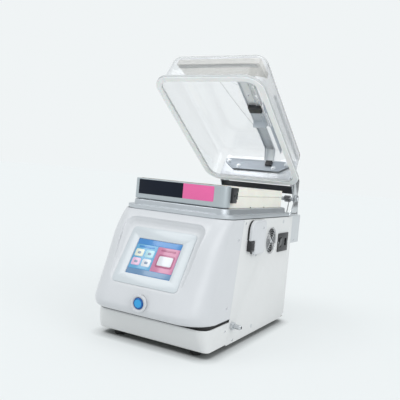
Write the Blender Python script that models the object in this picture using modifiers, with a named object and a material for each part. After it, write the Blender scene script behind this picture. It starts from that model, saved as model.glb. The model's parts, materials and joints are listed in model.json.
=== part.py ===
"""Tabletop chamber vacuum packing machine with a hinged clear lid.

Machine frame while modelling: X to the right, Y to the back, Z up, with Y = 0
at the front edge of the chamber tray and Z = 0 on the surface it stands on.
The root empty then shifts the whole machine so that its bounding box is
centred on the origin. Lengths are metres.
"""
import math

import bmesh
import bpy
from mathutils import Matrix, Vector

# ---- driving dimensions -------------------------------------------------
GAP = 0.0003                # clearance between touching pieces
FOOT_HEIGHT = 0.014
FOOT_RADIUS = 0.015
BODY_HALF_WIDTH = 0.1755    # outside of the side panels
BODY_DEPTH = 0.500          # tray front to the outside of the rear panel
BODY_TOP = 0.359            # underside of the chamber tray
SHEET = 0.0015              # sheet metal
COVER_WALL = 0.003          # moulded covers

SEAM_TOP_Y = 0.100          # side panel's slanted front edge, at the top
SEAM_BOTTOM_Y = 0.053       # and at the bottom
COVER_SPLIT_Z = 0.087       # between the front cover and the lower cover
NOSE_Y = -0.133             # most forward point of the front cover

TRAY_HALF_WIDTH = 0.1715
TRAY_DEPTH = 0.518
TRAY_CORNER = 0.050
TRAY_FLANGE_TOP = 0.371
TRAY_STEP_INSET = 0.0165
TRAY_CEILING = 0.006                 # metal left over the hollow under the tray
TRAY_RIB = (0.0265, 0.075, 0.073)    # metal left beside, before and behind that hollow
TRAY_TOP = 0.386

PANEL_LEAN = math.radians(58.2)     # display panel, from the horizontal
PANEL_TOP = (-0.022, 0.312)         # Y and Z of the panel's top edge
PANEL_HALF_WIDTH = 0.1014
PANEL_LENGTH = 0.168
SCREEN_HALF_WIDTH = 0.0693
SCREEN_FROM = 0.0345                # down the slope from the panel's top edge
SCREEN_TO = 0.1385

BUTTON_X, BUTTON_Z = 0.008, 0.131
BUTTON_RADIUS = 0.0148
BUTTON_RING_RADIUS = 0.0235

SWING_Y = 0.605                      # axis of the hinge arms, on the stands
SWING_Z = 0.414
ARM_SWING = math.radians(75.0)       # how far the arms stand up when the lid is open
TILT_Y = 0.540                       # axis between arms and lid, with the lid closed
TILT_Z = 0.394
LID_TILT = math.radians(42.0)        # how far the lid folds back against the arms
LID_HALF_WIDTH = 0.180
LID_FRONT = -0.006
LID_REAR = 0.524
LID_CORNER = 0.056
LID_PLANE = TRAY_FLANGE_TOP + 0.003  # underside of the lid's rim, closed
LID_DEPTH = 0.120
LID_WALL = 0.004
LID_FLANGE = 0.009                   # thickness of the rim
LID_WALL_INSET = (0.0135, 0.0175)    # outside of the dome's wall, at the rim and where its top curves in
LID_SHOULDER = 0.031
GASKET_HEIGHT = LID_PLANE - TRAY_FLANGE_TOP - 2 * GAP

BAR_HALF_WIDTH = 0.1494
BAR_FRONT = 0.0220
BAR_REAR = 0.0540
BAR_BOTTOM = 0.388
BAR_TOP = 0.447
BAR_FRONT_CORNER = 0.018             # in plan, so that the bar clears the lid's round corners
BAR_REAR_CORNER = 0.003
BAR_EDGE = 0.002
STRIP_Y = 0.041                      # heating strip and press bar line
PISTON_X = 0.100
PRESS_HALF_WIDTH = 0.138              # broad bar in the lid, over the seal bar and behind it
PRESS_REAR = 0.098

BLOCK_HALF_WIDTH = 0.1435
BLOCK_FRONT = 0.0600
BLOCK_REAR = 0.461
BLOCK_TOP = 0.442

FAN_Y = 0.3150
FAN_Z = 0.288
FAN_RADIUS = 0.038
INLET_Y = 0.420
INLET_Z = 0.277
ROCKER_Y = 0.395
SOCKET_Y = 0.441
BARB_Y = 0.078
BARB_Z = 0.067
BARB_REACH = 0.030

REAR_BOX_HALF_WIDTH = 0.150
REAR_BOX_REAR = 0.660
REAR_BOX_BOTTOM = 0.259
STAND_X = 0.148
ARM_X = 0.141
EAR_X = 0.134
HINGE_PLATE_REAR = 0.514
HINGE_COVER = (0.0145, 0.053)        # its ends, from the arms' axis towards the lid's
SHAFT_RADIUS = 0.007

CENTRE_X = (BODY_HALF_WIDTH + BARB_REACH + GAP - LID_HALF_WIDTH) / 2
CENTRE_Y = (NOSE_Y - 0.0066 + REAR_BOX_REAR) / 2

SIDE = (("left", -1), ("right", 1))


# ---- scene set-up -------------------------------------------------------
for old in list(bpy.data.objects):
    bpy.data.objects.remove(old, do_unlink=True)

parts = bpy.data.collections.new("vacuum_packing_machine")
cutters = bpy.data.collections.new("cutters")
bpy.context.scene.collection.children.link(parts)
bpy.context.scene.collection.children.link(cutters)


def empty(name, location, parent=None, rotation=(0, 0, 0)):
    """An empty that carries pieces, such as a joint's axis."""
    axis = bpy.data.objects.new(name, None)
    axis.location = location
    axis.rotation_euler = rotation
    axis.parent = parent
    axis.empty_display_size = 0.03
    parts.objects.link(axis)
    return axis


ROOT = empty("machine", (-CENTRE_X, -CENTRE_Y, 0))


# ---- materials ----------------------------------------------------------
def material(name, colour, roughness, metallic=0.0, alpha=1.0):
    """A plain Principled BSDF."""
    made = bpy.data.materials.new(name)
    made.use_nodes = True
    shader = made.node_tree.nodes["Principled BSDF"]
    shader.inputs["Base Color"].default_value = (*colour, 1)
    shader.inputs["Roughness"].default_value = roughness
    shader.inputs["Metallic"].default_value = metallic
    shader.inputs["Alpha"].default_value = alpha
    return made


WHITE_PAINT = material("white_paint", (0.86, 0.87, 0.89), 0.35)
LIGHT_GREY = material("light_grey_paint", (0.70, 0.72, 0.74), 0.4)
ALUMINIUM = material("brushed_aluminium", (0.56, 0.58, 0.60), 0.4, 1.0)
STAINLESS = material("stainless_steel", (0.62, 0.63, 0.64), 0.25, 1.0)
ZINC = material("zinc_plated_steel", (0.58, 0.58, 0.56), 0.45, 1.0)
SPRING_STEEL = material("spring_steel", (0.30, 0.30, 0.31), 0.35, 1.0)
CLEAR = material("clear_acrylic", (0.95, 0.97, 0.98), 0.05, 0.0, 0.25)
WHITE_RUBBER = material("white_silicone", (0.88, 0.88, 0.87), 0.55)
CREAM = material("cream_polyethylene", (0.88, 0.87, 0.80), 0.5)
BLACK = material("black_plastic", (0.025, 0.025, 0.028), 0.45)
RUBBER = material("black_rubber", (0.02, 0.02, 0.02), 0.8)
GLASS = material("screen_glass", (0.30, 0.52, 0.72), 0.12)
BLUE = material("blue_plastic", (0.03, 0.16, 0.62), 0.35)
NICHROME = material("nichrome", (0.42, 0.38, 0.34), 0.4, 1.0)
CAST_IRON = material("grey_cast_metal", (0.28, 0.30, 0.32), 0.6, 0.6)
BOARD = material("circuit_board", (0.02, 0.20, 0.09), 0.5)
HOSE = material("grey_hose", (0.20, 0.21, 0.22), 0.6)


# ---- modelling helpers --------------------------------------------------
def add_object(name, data, look, parent=ROOT, home=parts):
    """Link one object with its material under its parent."""
    made = bpy.data.objects.new(name, data)
    made.parent = parent
    if look:
        data.materials.append(look)
    home.objects.link(made)
    return made


def mesh_from(bm, name, smooth_angle=35):
    """Turn a bmesh into mesh data with outward normals."""
    bmesh.ops.recalc_face_normals(bm, faces=bm.faces)
    data = bpy.data.meshes.new(name)
    bm.to_mesh(data)
    bm.free()
    data.shade_smooth()
    data.set_sharp_from_angle(angle=math.radians(smooth_angle))
    return data


def bevel(made, width, segments=2):
    """Round the edges of an object."""
    modifier = made.modifiers.new("rounded_edges", "BEVEL")
    modifier.width = width
    modifier.segments = segments
    modifier.limit_method = "ANGLE"
    modifier.angle_limit = math.radians(40)


def box(name, low, high, look, parent=ROOT, round_by=0.0, segments=2, home=parts):
    """A box between two corners."""
    bm = bmesh.new()
    bmesh.ops.create_cube(bm, size=1)
    low, high = Vector(low), Vector(high)
    scale = Matrix.Diagonal((high - low).to_4d())
    scale[3][3] = 1
    bmesh.ops.transform(bm, matrix=Matrix.Translation((low + high) / 2) @ scale, verts=bm.verts)
    made = add_object(name, mesh_from(bm, name), look, parent, home)
    if round_by:
        bevel(made, round_by, segments)
    return made


AXIS_TURN = {
    "X": Matrix.Rotation(math.pi / 2, 4, "Y"),
    "Y": Matrix.Rotation(-math.pi / 2, 4, "X"),
    "Z": Matrix.Identity(4),
}


def cylinder(name, radius, start, end, centre, axis, look, parent=ROOT, sides=32, home=parts):
    """A cylinder along an axis, from start to end, centred on the other two values."""
    bm = bmesh.new()
    bmesh.ops.create_cone(bm, cap_ends=True, segments=sides, radius1=radius, radius2=radius,
                          depth=end - start)
    bmesh.ops.transform(bm, matrix=AXIS_TURN[axis], verts=bm.verts)
    middle = (start + end) / 2
    spot = {"X": (middle, *centre), "Y": (centre[0], middle, centre[1]), "Z": (*centre, middle)}
    bmesh.ops.translate(bm, vec=spot[axis], verts=bm.verts)
    return add_object(name, mesh_from(bm, name), look, parent, home)


def circle_points(radius, centre=(0, 0), count=32):
    """Points around a circle."""
    turns = [2 * math.pi * i / count for i in range(count)]
    return [(centre[0] + radius * math.cos(t), centre[1] + radius * math.sin(t)) for t in turns]


def rounded_rectangle(low, high, radius, steps=6):
    """Outline of a rectangle with round corners, anticlockwise."""
    corners = ((high[0], high[1], 0), (low[0], high[1], 1), (low[0], low[1], 2), (high[0], low[1], 3))
    points = []
    for x, y, quarter in corners:
        centre_x = x - radius if quarter in (0, 3) else x + radius
        centre_y = y - radius if quarter in (0, 1) else y + radius
        for step in range(steps + 1):
            turn = math.pi / 2 * (quarter + step / steps)
            points.append((centre_x + radius * math.cos(turn), centre_y + radius * math.sin(turn)))
    return points


def flat_plate(name, outlines, thickness, look, parent=ROOT, home=parts):
    """A flat outline with holes, extruded to its thickness about its own plane."""
    curve = bpy.data.curves.new(name, "CURVE")
    curve.dimensions = "2D"
    curve.fill_mode = "BOTH"
    curve.extrude = thickness / 2
    curve.render_resolution_u = 0
    for points in outlines:
        spline = curve.splines.new("POLY")
        spline.points.add(len(points) - 1)
        for point, (x, y) in zip(spline.points, points):
            point.co = (x, y, 0, 1)
        spline.use_cyclic_u = True
    return add_object(name, curve, look, parent, home)


def upright_plate(name, outlines, x_middle, thickness, look, parent=ROOT, home=parts):
    """A plate standing in the YZ plane; its outlines are given as (Y, Z)."""
    made = flat_plate(name, outlines, thickness, look, parent, home)
    made.location = (x_middle, 0, 0)
    made.rotation_euler = (math.pi / 2, 0, math.pi / 2)
    return made


def tube(name, points, radius, look, parent=ROOT, resolution=2):
    """A round wire or hose along points."""
    curve = bpy.data.curves.new(name, "CURVE")
    curve.dimensions = "3D"
    curve.bevel_depth = radius
    curve.bevel_resolution = resolution
    curve.use_fill_caps = True
    curve.render_resolution_u = 0
    spline = curve.splines.new("POLY")
    spline.points.add(len(points) - 1)
    for point, place in zip(spline.points, points):
        point.co = (*place, 1)
    return add_object(name, curve, look, parent)


def loft(name, rings, look, parent=ROOT, cap_first=True, cap_last=True, home=parts, closed=True):
    """A skin through rings that all have the same number of points."""
    bm = bmesh.new()
    rows = [[bm.verts.new(point) for point in ring] for ring in rings]
    count = len(rings[0])
    for row, following in zip(rows, rows[1:]):
        for i in range(count if closed else count - 1):
            j = (i + 1) % count
            bm.faces.new((row[i], row[j], following[j], following[i]))
    if cap_first:
        bm.faces.new(rows[0])
    if cap_last:
        bm.faces.new(list(reversed(rows[-1])))
    return add_object(name, mesh_from(bm, name), look, parent, home)


def turned(name, profile, look, parent=ROOT, sides=32, home=parts):
    """A turned piece: (radius, height) points from the top down its outer side."""
    bm = bmesh.new()
    verts = [bm.verts.new((radius, 0, height)) for radius, height in profile]
    for first, second in zip(verts, verts[1:]):
        bm.edges.new((first, second))
    data = bpy.data.meshes.new(name)
    bm.to_mesh(data)
    bm.free()
    made = add_object(name, data, look, parent, home)
    screw = made.modifiers.new("turned", "SCREW")
    screw.steps = sides
    screw.render_steps = sides
    screw.use_merge_vertices = True
    screw.merge_threshold = 0.00005
    return made


def solidify(made, thickness):
    """Give an open skin its wall, grown to the inside."""
    modifier = made.modifiers.new("wall", "SOLIDIFY")
    modifier.thickness = thickness
    modifier.offset = -1
    modifier.use_even_offset = True


def combine(made, tool, operation):
    """Cut one object with another, or join them."""
    modifier = made.modifiers.new(tool.name, "BOOLEAN")
    modifier.operation = operation
    modifier.solver = "EXACT"
    modifier.object = tool
    tool.hide_render = True
    tool.display_type = "WIRE"


def cut(made, *tools):
    """Cut holes and pockets."""
    for tool in tools:
        combine(made, tool, "DIFFERENCE")


def join(made, *tools):
    """Join further shapes into one body."""
    for tool in tools:
        combine(made, tool, "UNION")


def blend_points(points, steps):
    """A smooth curve through points of any dimension (Catmull-Rom)."""
    padded = [points[0], *points, points[-1]]
    smooth = []
    for a, b, c, d in zip(padded, padded[1:], padded[2:], padded[3:]):
        for step in range(steps):
            t = step / steps
            smooth.append(tuple(
                0.5 * (2 * q + (r - p) * t + (2 * p - 5 * q + 4 * r - s) * t * t
                       + (3 * q - p - 3 * r + s) * t ** 3)
                for p, q, r, s in zip(a, b, c, d)))
    smooth.append(tuple(points[-1]))
    return smooth


# ---- covers and panels --------------------------------------------------
def seam_y(z):
    """Y of the slanted seam between the front covers and the side panels."""
    share = (z - FOOT_HEIGHT) / (BODY_TOP - FOOT_HEIGHT)
    return SEAM_BOTTOM_Y + share * (SEAM_TOP_Y - SEAM_BOTTOM_Y)


def wrap_outline(front, z, corner, steps=8):
    """Plan outline of a cover: right seam, round corner, front, left corner, left seam."""
    half = BODY_HALF_WIDTH
    right = []
    for step in range(steps + 1):
        turn = math.pi / 2 * step / steps
        right.append((half - corner + corner * math.cos(turn), front + corner - corner * math.sin(turn)))
    right = [(half, seam_y(z) - GAP), (half, (seam_y(z) + front + corner) / 2), *right]
    left = [(-x, y) for x, y in reversed(right)]
    return [(x, y, z) for x, y in right + left]


def panel_point(across, down, out=0.0):
    """A place on the display panel's plane: across, down the slope and out of it."""
    y = PANEL_TOP[0] - down * math.cos(PANEL_LEAN) - out * math.sin(PANEL_LEAN)
    z = PANEL_TOP[1] - down * math.sin(PANEL_LEAN) + out * math.cos(PANEL_LEAN)
    return (across, y, z)


RECESS_HALF_WIDTH = 0.126           # at its top; it narrows to the bottom
RECESS_NARROWING = 0.14
RECESS_FROM = -0.022
RECESS_TO = 0.174
RECESS_DEPTH = 0.0115               # at the top; it runs out to the bottom


def recess_height(down):
    """How far the recess's rim stands over the panel plane."""
    share = min(max((down - 0.05) / (RECESS_TO - 0.05), 0), 1)
    return RECESS_DEPTH + share * (0.0015 - RECESS_DEPTH)


def recess_ring(grow, rise=None, sink=0.0, steps=6):
    """Rounded outline of the display recess; rise is one height, or else it follows the rim."""
    low = (-RECESS_HALF_WIDTH - grow, RECESS_FROM - grow)
    high = (RECESS_HALF_WIDTH + grow, RECESS_TO + grow)
    ring = []
    for x, down in rounded_rectangle(low, high, 0.030 + grow, steps):
        share = (down - RECESS_FROM) / (RECESS_TO - RECESS_FROM)
        height = recess_height(down) - sink if rise is None else rise
        ring.append(panel_point(x * (1 - RECESS_NARROWING * share), down, height))
    return ring


def front_cover():
    """Moulded cover that leans out to a round nose and wraps both front corners."""
    profile = [(0.0015, BODY_TOP - GAP, 0.046), (-0.020, 0.338, 0.050), (-0.054, 0.290, 0.058),
               (-0.088, 0.216, 0.070), (-0.117, 0.158, 0.078), (NOSE_Y + 0.0022, 0.124, 0.080),
               (NOSE_Y + 0.0022, 0.109, 0.080), (NOSE_Y + 0.012, 0.0965, 0.076),
               (NOSE_Y + 0.036, 0.0905, 0.060), (-0.052, COVER_SPLIT_Z + 0.001, 0.030)]
    rings = [wrap_outline(y, z, corner) for y, z, corner in blend_points(profile, 2)]
    cover = loft("front_cover", rings, WHITE_PAINT, cap_first=False, cap_last=False, closed=False)
    solidify(cover, COVER_WALL)
    opening = loft("recess_cutter", [recess_ring(GAP, -0.02), recess_ring(GAP, 0.03)], None, home=cutters)
    hole = cylinder("button_cutter", 0.0195, NOSE_Y - 0.01, NOSE_Y + 0.03, (BUTTON_X, BUTTON_Z), "Y", None,
                    home=cutters)
    cut(cover, opening, hole)


def lower_front_cover():
    """Shallow cover under the nose, set back, down to the bottom edge."""
    levels = [(-0.074, COVER_SPLIT_Z - 0.007, 0.022), (-0.075, 0.074, 0.023), (-0.068, 0.048, 0.021),
              (-0.055, FOOT_HEIGHT + 0.0055, 0.018)]
    rings = [wrap_outline(y, z, corner) for y, z, corner in levels]
    cover = loft("lower_front_cover", rings, WHITE_PAINT, cap_first=False, cap_last=False, closed=False)
    solidify(cover, COVER_WALL)


def display_bezel():
    """Shallow tub in the front cover that holds the touch screen."""
    panel_low = (-PANEL_HALF_WIDTH, 0.0)
    panel_high = (PANEL_HALF_WIDTH, PANEL_LENGTH)
    rim = recess_ring(0)
    shoulder_low = (panel_low[0] - 0.002, panel_low[1] - 0.004)
    shoulder_high = (panel_high[0] + 0.002, panel_high[1] + 0.002)
    shoulder = [panel_point(x, d, 0.0004) for x, d in rounded_rectangle(shoulder_low, shoulder_high, 0.016)]
    floor = [panel_point(x, d, 0) for x, d in rounded_rectangle(panel_low, panel_high, 0.012)]
    under = [panel_point(x, d, -0.004) for x, d in rounded_rectangle(panel_low, panel_high, 0.012)]
    back = recess_ring(-0.004, sink=0.006)
    lip = recess_ring(0, sink=0.003)
    bezel = loft("display_bezel", [floor, shoulder, rim, lip, back, under], WHITE_PAINT)
    window = screen_block("screen_cutter", -0.010, 0.010, GAP, None, cutters)
    cut(bezel, window)


def screen_block(name, low, high, grow, look, home=parts):
    """Rounded slab that fills the screen window between two heights."""
    outline = rounded_rectangle((-SCREEN_HALF_WIDTH - grow, SCREEN_FROM - grow),
                                (SCREEN_HALF_WIDTH + grow, SCREEN_TO + grow), 0.002, 2)
    rings = [[panel_point(x, d, out) for x, d in outline] for out in (low, high)]
    return loft(name, rings, look, home=home)


def start_button():
    """Dished ring fixed in the nose, and the push button that slides in it."""
    face = NOSE_Y - 0.0008
    ring_axis = empty("button_axis", (BUTTON_X, face, BUTTON_Z), ROOT, (math.pi / 2, 0, 0))
    ring = turned("button_ring", [
        (0.0155, 0.0020), (0.0205, 0.0042), (BUTTON_RING_RADIUS - 0.0008, 0.0042),
        (BUTTON_RING_RADIUS, 0.0034), (BUTTON_RING_RADIUS, 0.0), (0.0190, 0.0), (0.0190, -0.012),
        (0.0155, -0.012), (0.0155, 0.0020)], WHITE_PAINT, ring_axis)
    ring.location = (0, 0, 0)
    button = turned("start_button", [
        (0.0, 0.0058), (0.0105, 0.0054), (0.0138, 0.0044), (BUTTON_RADIUS, 0.0028),
        (BUTTON_RADIUS, -0.010), (0.0, -0.010)], BLUE, ring_axis)
    button.location = (0, 0, 0)


def side_panels():
    """Slanted sheet side panels; the right one carries the fan, inlet and barb."""
    outline = [(seam_y(BODY_TOP) + GAP, BODY_TOP - GAP), (BODY_DEPTH, BODY_TOP - GAP),
               (BODY_DEPTH, FOOT_HEIGHT + 0.013), (BODY_DEPTH - 0.038, FOOT_HEIGHT + 0.0015),
               (seam_y(FOOT_HEIGHT) + GAP, FOOT_HEIGHT + 0.0015)]
    fan_hole = circle_points(FAN_RADIUS, (FAN_Y, FAN_Z))
    inlet_low, inlet_high = (INLET_Y - 0.041, INLET_Z - 0.026), (INLET_Y + 0.041, INLET_Z + 0.026)
    inlet_hole = rounded_rectangle(inlet_low, inlet_high, 0.002, 2)
    holes = {"left": [], "right": [fan_hole, inlet_hole]}
    for side, sign in SIDE:
        upright_plate("side_panel_" + side, [outline, *holes[side]],
                      sign * (BODY_HALF_WIDTH - SHEET / 2), SHEET, WHITE_PAINT)


def sheet_frame():
    """Base pan, rear panel and the hinge box behind it."""
    half = BODY_HALF_WIDTH - SHEET - GAP
    pan = [(half, BODY_DEPTH - SHEET - GAP), (-half, BODY_DEPTH - SHEET - GAP)]
    front = [(x * (half - 0.005) / half, y) for x, y in
             rounded_rectangle((-half, -0.040), (half, 0.2), 0.014, 8) if y < 0.06]
    pan_plate = flat_plate("base_pan", [[*pan, *front]], 0.002, ZINC)
    pan_plate.location = (0, 0, FOOT_HEIGHT + 0.003)
    box("rear_panel", (-half, BODY_DEPTH - SHEET, FOOT_HEIGHT + 0.013),
        (half, BODY_DEPTH, BODY_TOP - GAP), LIGHT_GREY)
    rear = box("rear_hinge_box", (-REAR_BOX_HALF_WIDTH, BODY_DEPTH + GAP, REAR_BOX_BOTTOM),
               (REAR_BOX_HALF_WIDTH, REAR_BOX_REAR, BODY_TOP - GAP), LIGHT_GREY, round_by=0.003)
    hollow = box("hinge_box_cutter", (-REAR_BOX_HALF_WIDTH + SHEET, 0.4, REAR_BOX_BOTTOM + SHEET),
                 (REAR_BOX_HALF_WIDTH - SHEET, REAR_BOX_REAR - SHEET, BODY_TOP - GAP - SHEET), None,
                 home=cutters)
    cut(rear, hollow)


def feet():
    """Four turned rubber feet under the base pan."""
    places = {"front_left": (-0.125, -0.020), "front_right": (0.125, -0.020),
              "rear_left": (-0.140, 0.450), "rear_right": (0.140, 0.450)}
    profile = [(0.0, FOOT_HEIGHT + 0.002 - GAP), (FOOT_RADIUS, FOOT_HEIGHT + 0.002 - GAP),
               (FOOT_RADIUS, 0.006),
               (FOOT_RADIUS - 0.002, 0.0), (0.0, 0.0)]
    for name, (x, y) in places.items():
        foot = turned("foot_" + name, profile, RUBBER, sides=24)
        foot.location = (x, y, 0)


# ---- right side fittings ------------------------------------------------
def arc_slot(centre, inner, outer, start, end, steps=6):
    """A slot bent along a circle."""
    turns = [start + (end - start) * i / steps for i in range(steps + 1)]
    out = [(centre[0] + outer * math.cos(t), centre[1] + outer * math.sin(t)) for t in turns]
    back = [(centre[0] + inner * math.cos(t), centre[1] + inner * math.sin(t)) for t in reversed(turns)]
    return out + back


def fan():
    """Cooling fan: ring guard outside, square frame inside and a rotor between."""
    centre = (FAN_Y, FAN_Z)
    slots = []
    for ring in range(4):
        inner = 0.0095 + 0.0075 * ring
        for quarter in range(4):
            start = math.pi / 2 * quarter + math.pi / 4 + 0.0018 / inner
            slots.append(arc_slot(centre, inner, inner + 0.0052, start,
                                  start + math.pi / 2 - 0.0036 / inner))
    upright_plate("fan_guard", [circle_points(0.0415, centre), *slots],
                  BODY_HALF_WIDTH + GAP + 0.0008, 0.0016, SPRING_STEEL)
    back = BODY_HALF_WIDTH - SHEET - GAP
    frame = box("fan_frame", (back - 0.025, FAN_Y - 0.040, FAN_Z - 0.040),
                (back, FAN_Y + 0.040, FAN_Z + 0.040),
                BLACK, round_by=0.003)
    bore = cylinder("fan_bore_cutter", 0.0375, back - 0.022, back + 0.01, centre, "X", None, home=cutters)
    cut(frame, bore)
    for quarter in range(4):
        turn = math.pi / 2 * quarter
        slot = arc_slot(centre, 0.0155, 0.0360, turn + 0.12, turn + math.pi / 2 - 0.12)
        rings = [[(x, y, z) for y, z in slot] for x in (back - 0.030, back - 0.020)]
        cut(frame, loft("fan_window_cutter_%d" % quarter, rings, None, home=cutters))
    rotor_axis = empty("fan_axis", (back - 0.0085, FAN_Y, FAN_Z), ROOT, (math.pi / 2, 0, math.pi / 2))
    flat_plate("fan_rotor", [rotor_outline(7, 0.0145, 0.0355)], 0.012, BLACK, rotor_axis)


def rotor_outline(blades, hub, tip):
    """Flat outline of a fan rotor: a hub with swept blades."""
    points = []
    pitch = 2 * math.pi / blades
    for blade in range(blades):
        start = pitch * blade
        for radius, turn in ((hub, 0.0), (tip * 0.7, 0.10), (tip, 0.26), (tip, 0.72), (tip * 0.7, 0.56),
                             (hub, 0.62)):
            angle = start + pitch * turn
            points.append((radius * math.cos(angle), radius * math.sin(angle)))
    return points


def air_cowl():
    """Moulded hood over the air intake in front of the fan."""
    face = BODY_HALF_WIDTH + GAP
    levels = ((0.0, 0.0), (0.0, 0.008), (0.002, 0.0125), (0.007, 0.015))
    rings = []
    for inset, out in levels:
        outline = rounded_rectangle((0.130 + inset, 0.257 + inset), (0.236 - inset, 0.3565 - inset),
                                    0.030 - inset)
        rings.append([(face + out, y, z) for y, z in outline])
    cowl = loft("air_cowl", rings, WHITE_PAINT, cap_first=False)
    solidify(cowl, 0.002)


def power_inlet():
    """Inlet module: socket and rocker breaker in one moulded plate."""
    face = BODY_HALF_WIDTH + GAP
    plate = box("power_inlet", (face, INLET_Y - 0.045, INLET_Z - 0.030),
                (face + 0.0025, INLET_Y + 0.045, INLET_Z + 0.030), BLACK)
    body = box("inlet_body", (face - 0.030, INLET_Y - 0.0402, INLET_Z - 0.0252),
               (face + 0.001, INLET_Y + 0.0402, INLET_Z + 0.0252), None, home=cutters)
    join(plate, body)
    socket = box("socket_cutter", (face - 0.016, SOCKET_Y - 0.0085, INLET_Z - 0.012),
                 (face + 0.02, SOCKET_Y + 0.0085, INLET_Z + 0.012), None, home=cutters)
    well = box("rocker_cutter", (face - 0.014, ROCKER_Y - 0.0105, INLET_Z - 0.016),
               (face + 0.02, ROCKER_Y + 0.0105, INLET_Z + 0.016), None, home=cutters)
    cut(plate, socket, well)
    rocker_axis = empty("rocker_axis", (face - 0.002, ROCKER_Y, INLET_Z), ROOT)
    outline = [(-0.0135, -0.006), (0.0135, -0.006), (0.0142, 0.0030), (0.0, 0.0062), (-0.0142, 0.0078)]
    rocker = flat_plate("breaker_rocker", [outline], 0.0195, BLACK, rocker_axis)
    rocker.rotation_euler = Matrix(((0, 1, 0), (0, 0, 1), (1, 0, 0))).to_euler()


def hose_barb():
    """Turned metal barb low on the right side, with an open bore."""
    profile = [(0.0040, BARB_REACH), (0.0052, BARB_REACH)]
    for step in range(3):
        top = BARB_REACH - 0.0065 * step
        profile += [(0.0070, top - 0.0052), (0.0058, top - 0.0055)]
    profile += [(0.0058, 0.008), (0.0110, 0.008), (0.0110, 0.0), (0.0, 0.0), (0.0, 0.004), (0.0040, 0.004),
                (0.0040, BARB_REACH)]
    barb = turned("hose_barb", profile, STAINLESS, sides=24)
    barb.location = (BODY_HALF_WIDTH + GAP, BARB_Y, BARB_Z)
    barb.rotation_euler = (0, math.pi / 2, 0)


# ---- chamber ------------------------------------------------------------
def ring_at(inset, z, low=(-TRAY_HALF_WIDTH, 0.0), high=(TRAY_HALF_WIDTH, TRAY_DEPTH), corner=TRAY_CORNER):
    """Rounded rectangle at a height, inset from its outline."""
    outline = rounded_rectangle((low[0] + inset, low[1] + inset), (high[0] - inset, high[1] - inset),
                                max(corner - inset, 0.004))
    return [(x, y, z) for x, y in outline]


def chamber_tray():
    """Cast tray: a flange for the lid's gasket and a raised floor."""
    step = TRAY_STEP_INSET
    levels = [(0.0015, BODY_TOP), (0.0, BODY_TOP + 0.0015), (0.0, TRAY_FLANGE_TOP - 0.001),
              (0.001, TRAY_FLANGE_TOP), (step - 0.001, TRAY_FLANGE_TOP), (step, TRAY_FLANGE_TOP + 0.001),
              (step + 0.0015, TRAY_TOP - 0.003), (step + 0.0045, TRAY_TOP)]
    tray = loft("chamber_tray", [ring_at(inset, z) for inset, z in levels], ALUMINIUM)
    side, front, rear = TRAY_RIB
    hollow_half = TRAY_HALF_WIDTH - side
    hollow = box("tray_hollow_cutter", (-hollow_half, front, BODY_TOP - 0.01),
                 (hollow_half, TRAY_DEPTH - rear, TRAY_TOP - TRAY_CEILING), None, home=cutters)
    cut(tray, hollow)
    for index, (x, y, radius) in enumerate(((-PISTON_X, STRIP_Y, 0.0066), (PISTON_X, STRIP_Y, 0.0066),
                                            (0.0, 0.474, 0.008), (0.060, 0.474, 0.004))):
        hole = cylinder("tray_cutter_%d" % index, radius, BODY_TOP - 0.01, TRAY_TOP + 0.01, (x, y),
                        "Z", None,
                        sides=24, home=cutters)
        cut(tray, hole)


def bar_ring(inset, z):
    """Plan outline of the seal bar at a height: wide round corners in front, small ones behind."""
    low = (-BAR_HALF_WIDTH + inset, BAR_FRONT + inset)
    high = (BAR_HALF_WIDTH - inset, BAR_REAR - inset)
    rear = rounded_rectangle(low, high, BAR_REAR_CORNER - inset)
    front = rounded_rectangle(low, high, BAR_FRONT_CORNER - inset)
    half = len(rear) // 2
    return [(x, y, z) for x, y in rear[:half] + front[half:]]


def seal_bar():
    """Lifting seal bar with its heating strip, end clamps, pistons and fixed cylinders."""
    axis = empty("seal_bar_axis", (0, 0, 0), ROOT)
    levels = [(BAR_EDGE, BAR_BOTTOM), (0.0, BAR_BOTTOM + BAR_EDGE), (0.0, BAR_TOP - BAR_EDGE),
              (BAR_EDGE * 0.3, BAR_TOP - BAR_EDGE * 0.3), (BAR_EDGE, BAR_TOP)]
    loft("seal_bar", [bar_ring(inset, z) for inset, z in levels], ALUMINIUM, axis)
    box("heating_strip", (-0.134, STRIP_Y - 0.0025, BAR_TOP + GAP),
        (0.134, STRIP_Y + 0.0025, BAR_TOP + 0.0009),
        NICHROME, axis)
    for side, sign in SIDE:
        low, high = sorted((sign * 0.1446, sign * 0.1555))
        clamp = box("seal_clamp_" + side, (low, BAR_REAR + GAP, 0.402), (high, BAR_REAR + 0.034, 0.444),
                    BLACK, axis, 0.0015)
        notch = box("clamp_cutter_" + side, (low - 0.01, BAR_REAR + 0.013, 0.395),
                    (high + 0.01, BAR_REAR + 0.024, 0.430), None, axis, home=cutters)
        cut(clamp, notch)
        cylinder("seal_piston_" + side, 0.006, 0.300, BAR_BOTTOM - GAP, (sign * PISTON_X, STRIP_Y), "Z",
                 STAINLESS, axis, 24)
        barrel = turned("seal_cylinder_" + side, [
            (0.0066, BODY_TOP - GAP), (0.0140, BODY_TOP - GAP), (0.0140, 0.284), (0.0, 0.284), (0.0, 0.292),
            (0.0066, 0.292), (0.0066, BODY_TOP - GAP)], ALUMINIUM, sides=24)
        barrel.location = (sign * PISTON_X, STRIP_Y, 0)


def filler_block():
    """Loose cream block that fills part of the chamber and can be lifted out."""
    axis = empty("filler_axis", (0, 0, 0), ROOT)
    box("filler_block", (-BLOCK_HALF_WIDTH, BLOCK_FRONT, TRAY_TOP + GAP),
        (BLOCK_HALF_WIDTH, BLOCK_REAR, BLOCK_TOP),
        CREAM, axis, 0.002)


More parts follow.
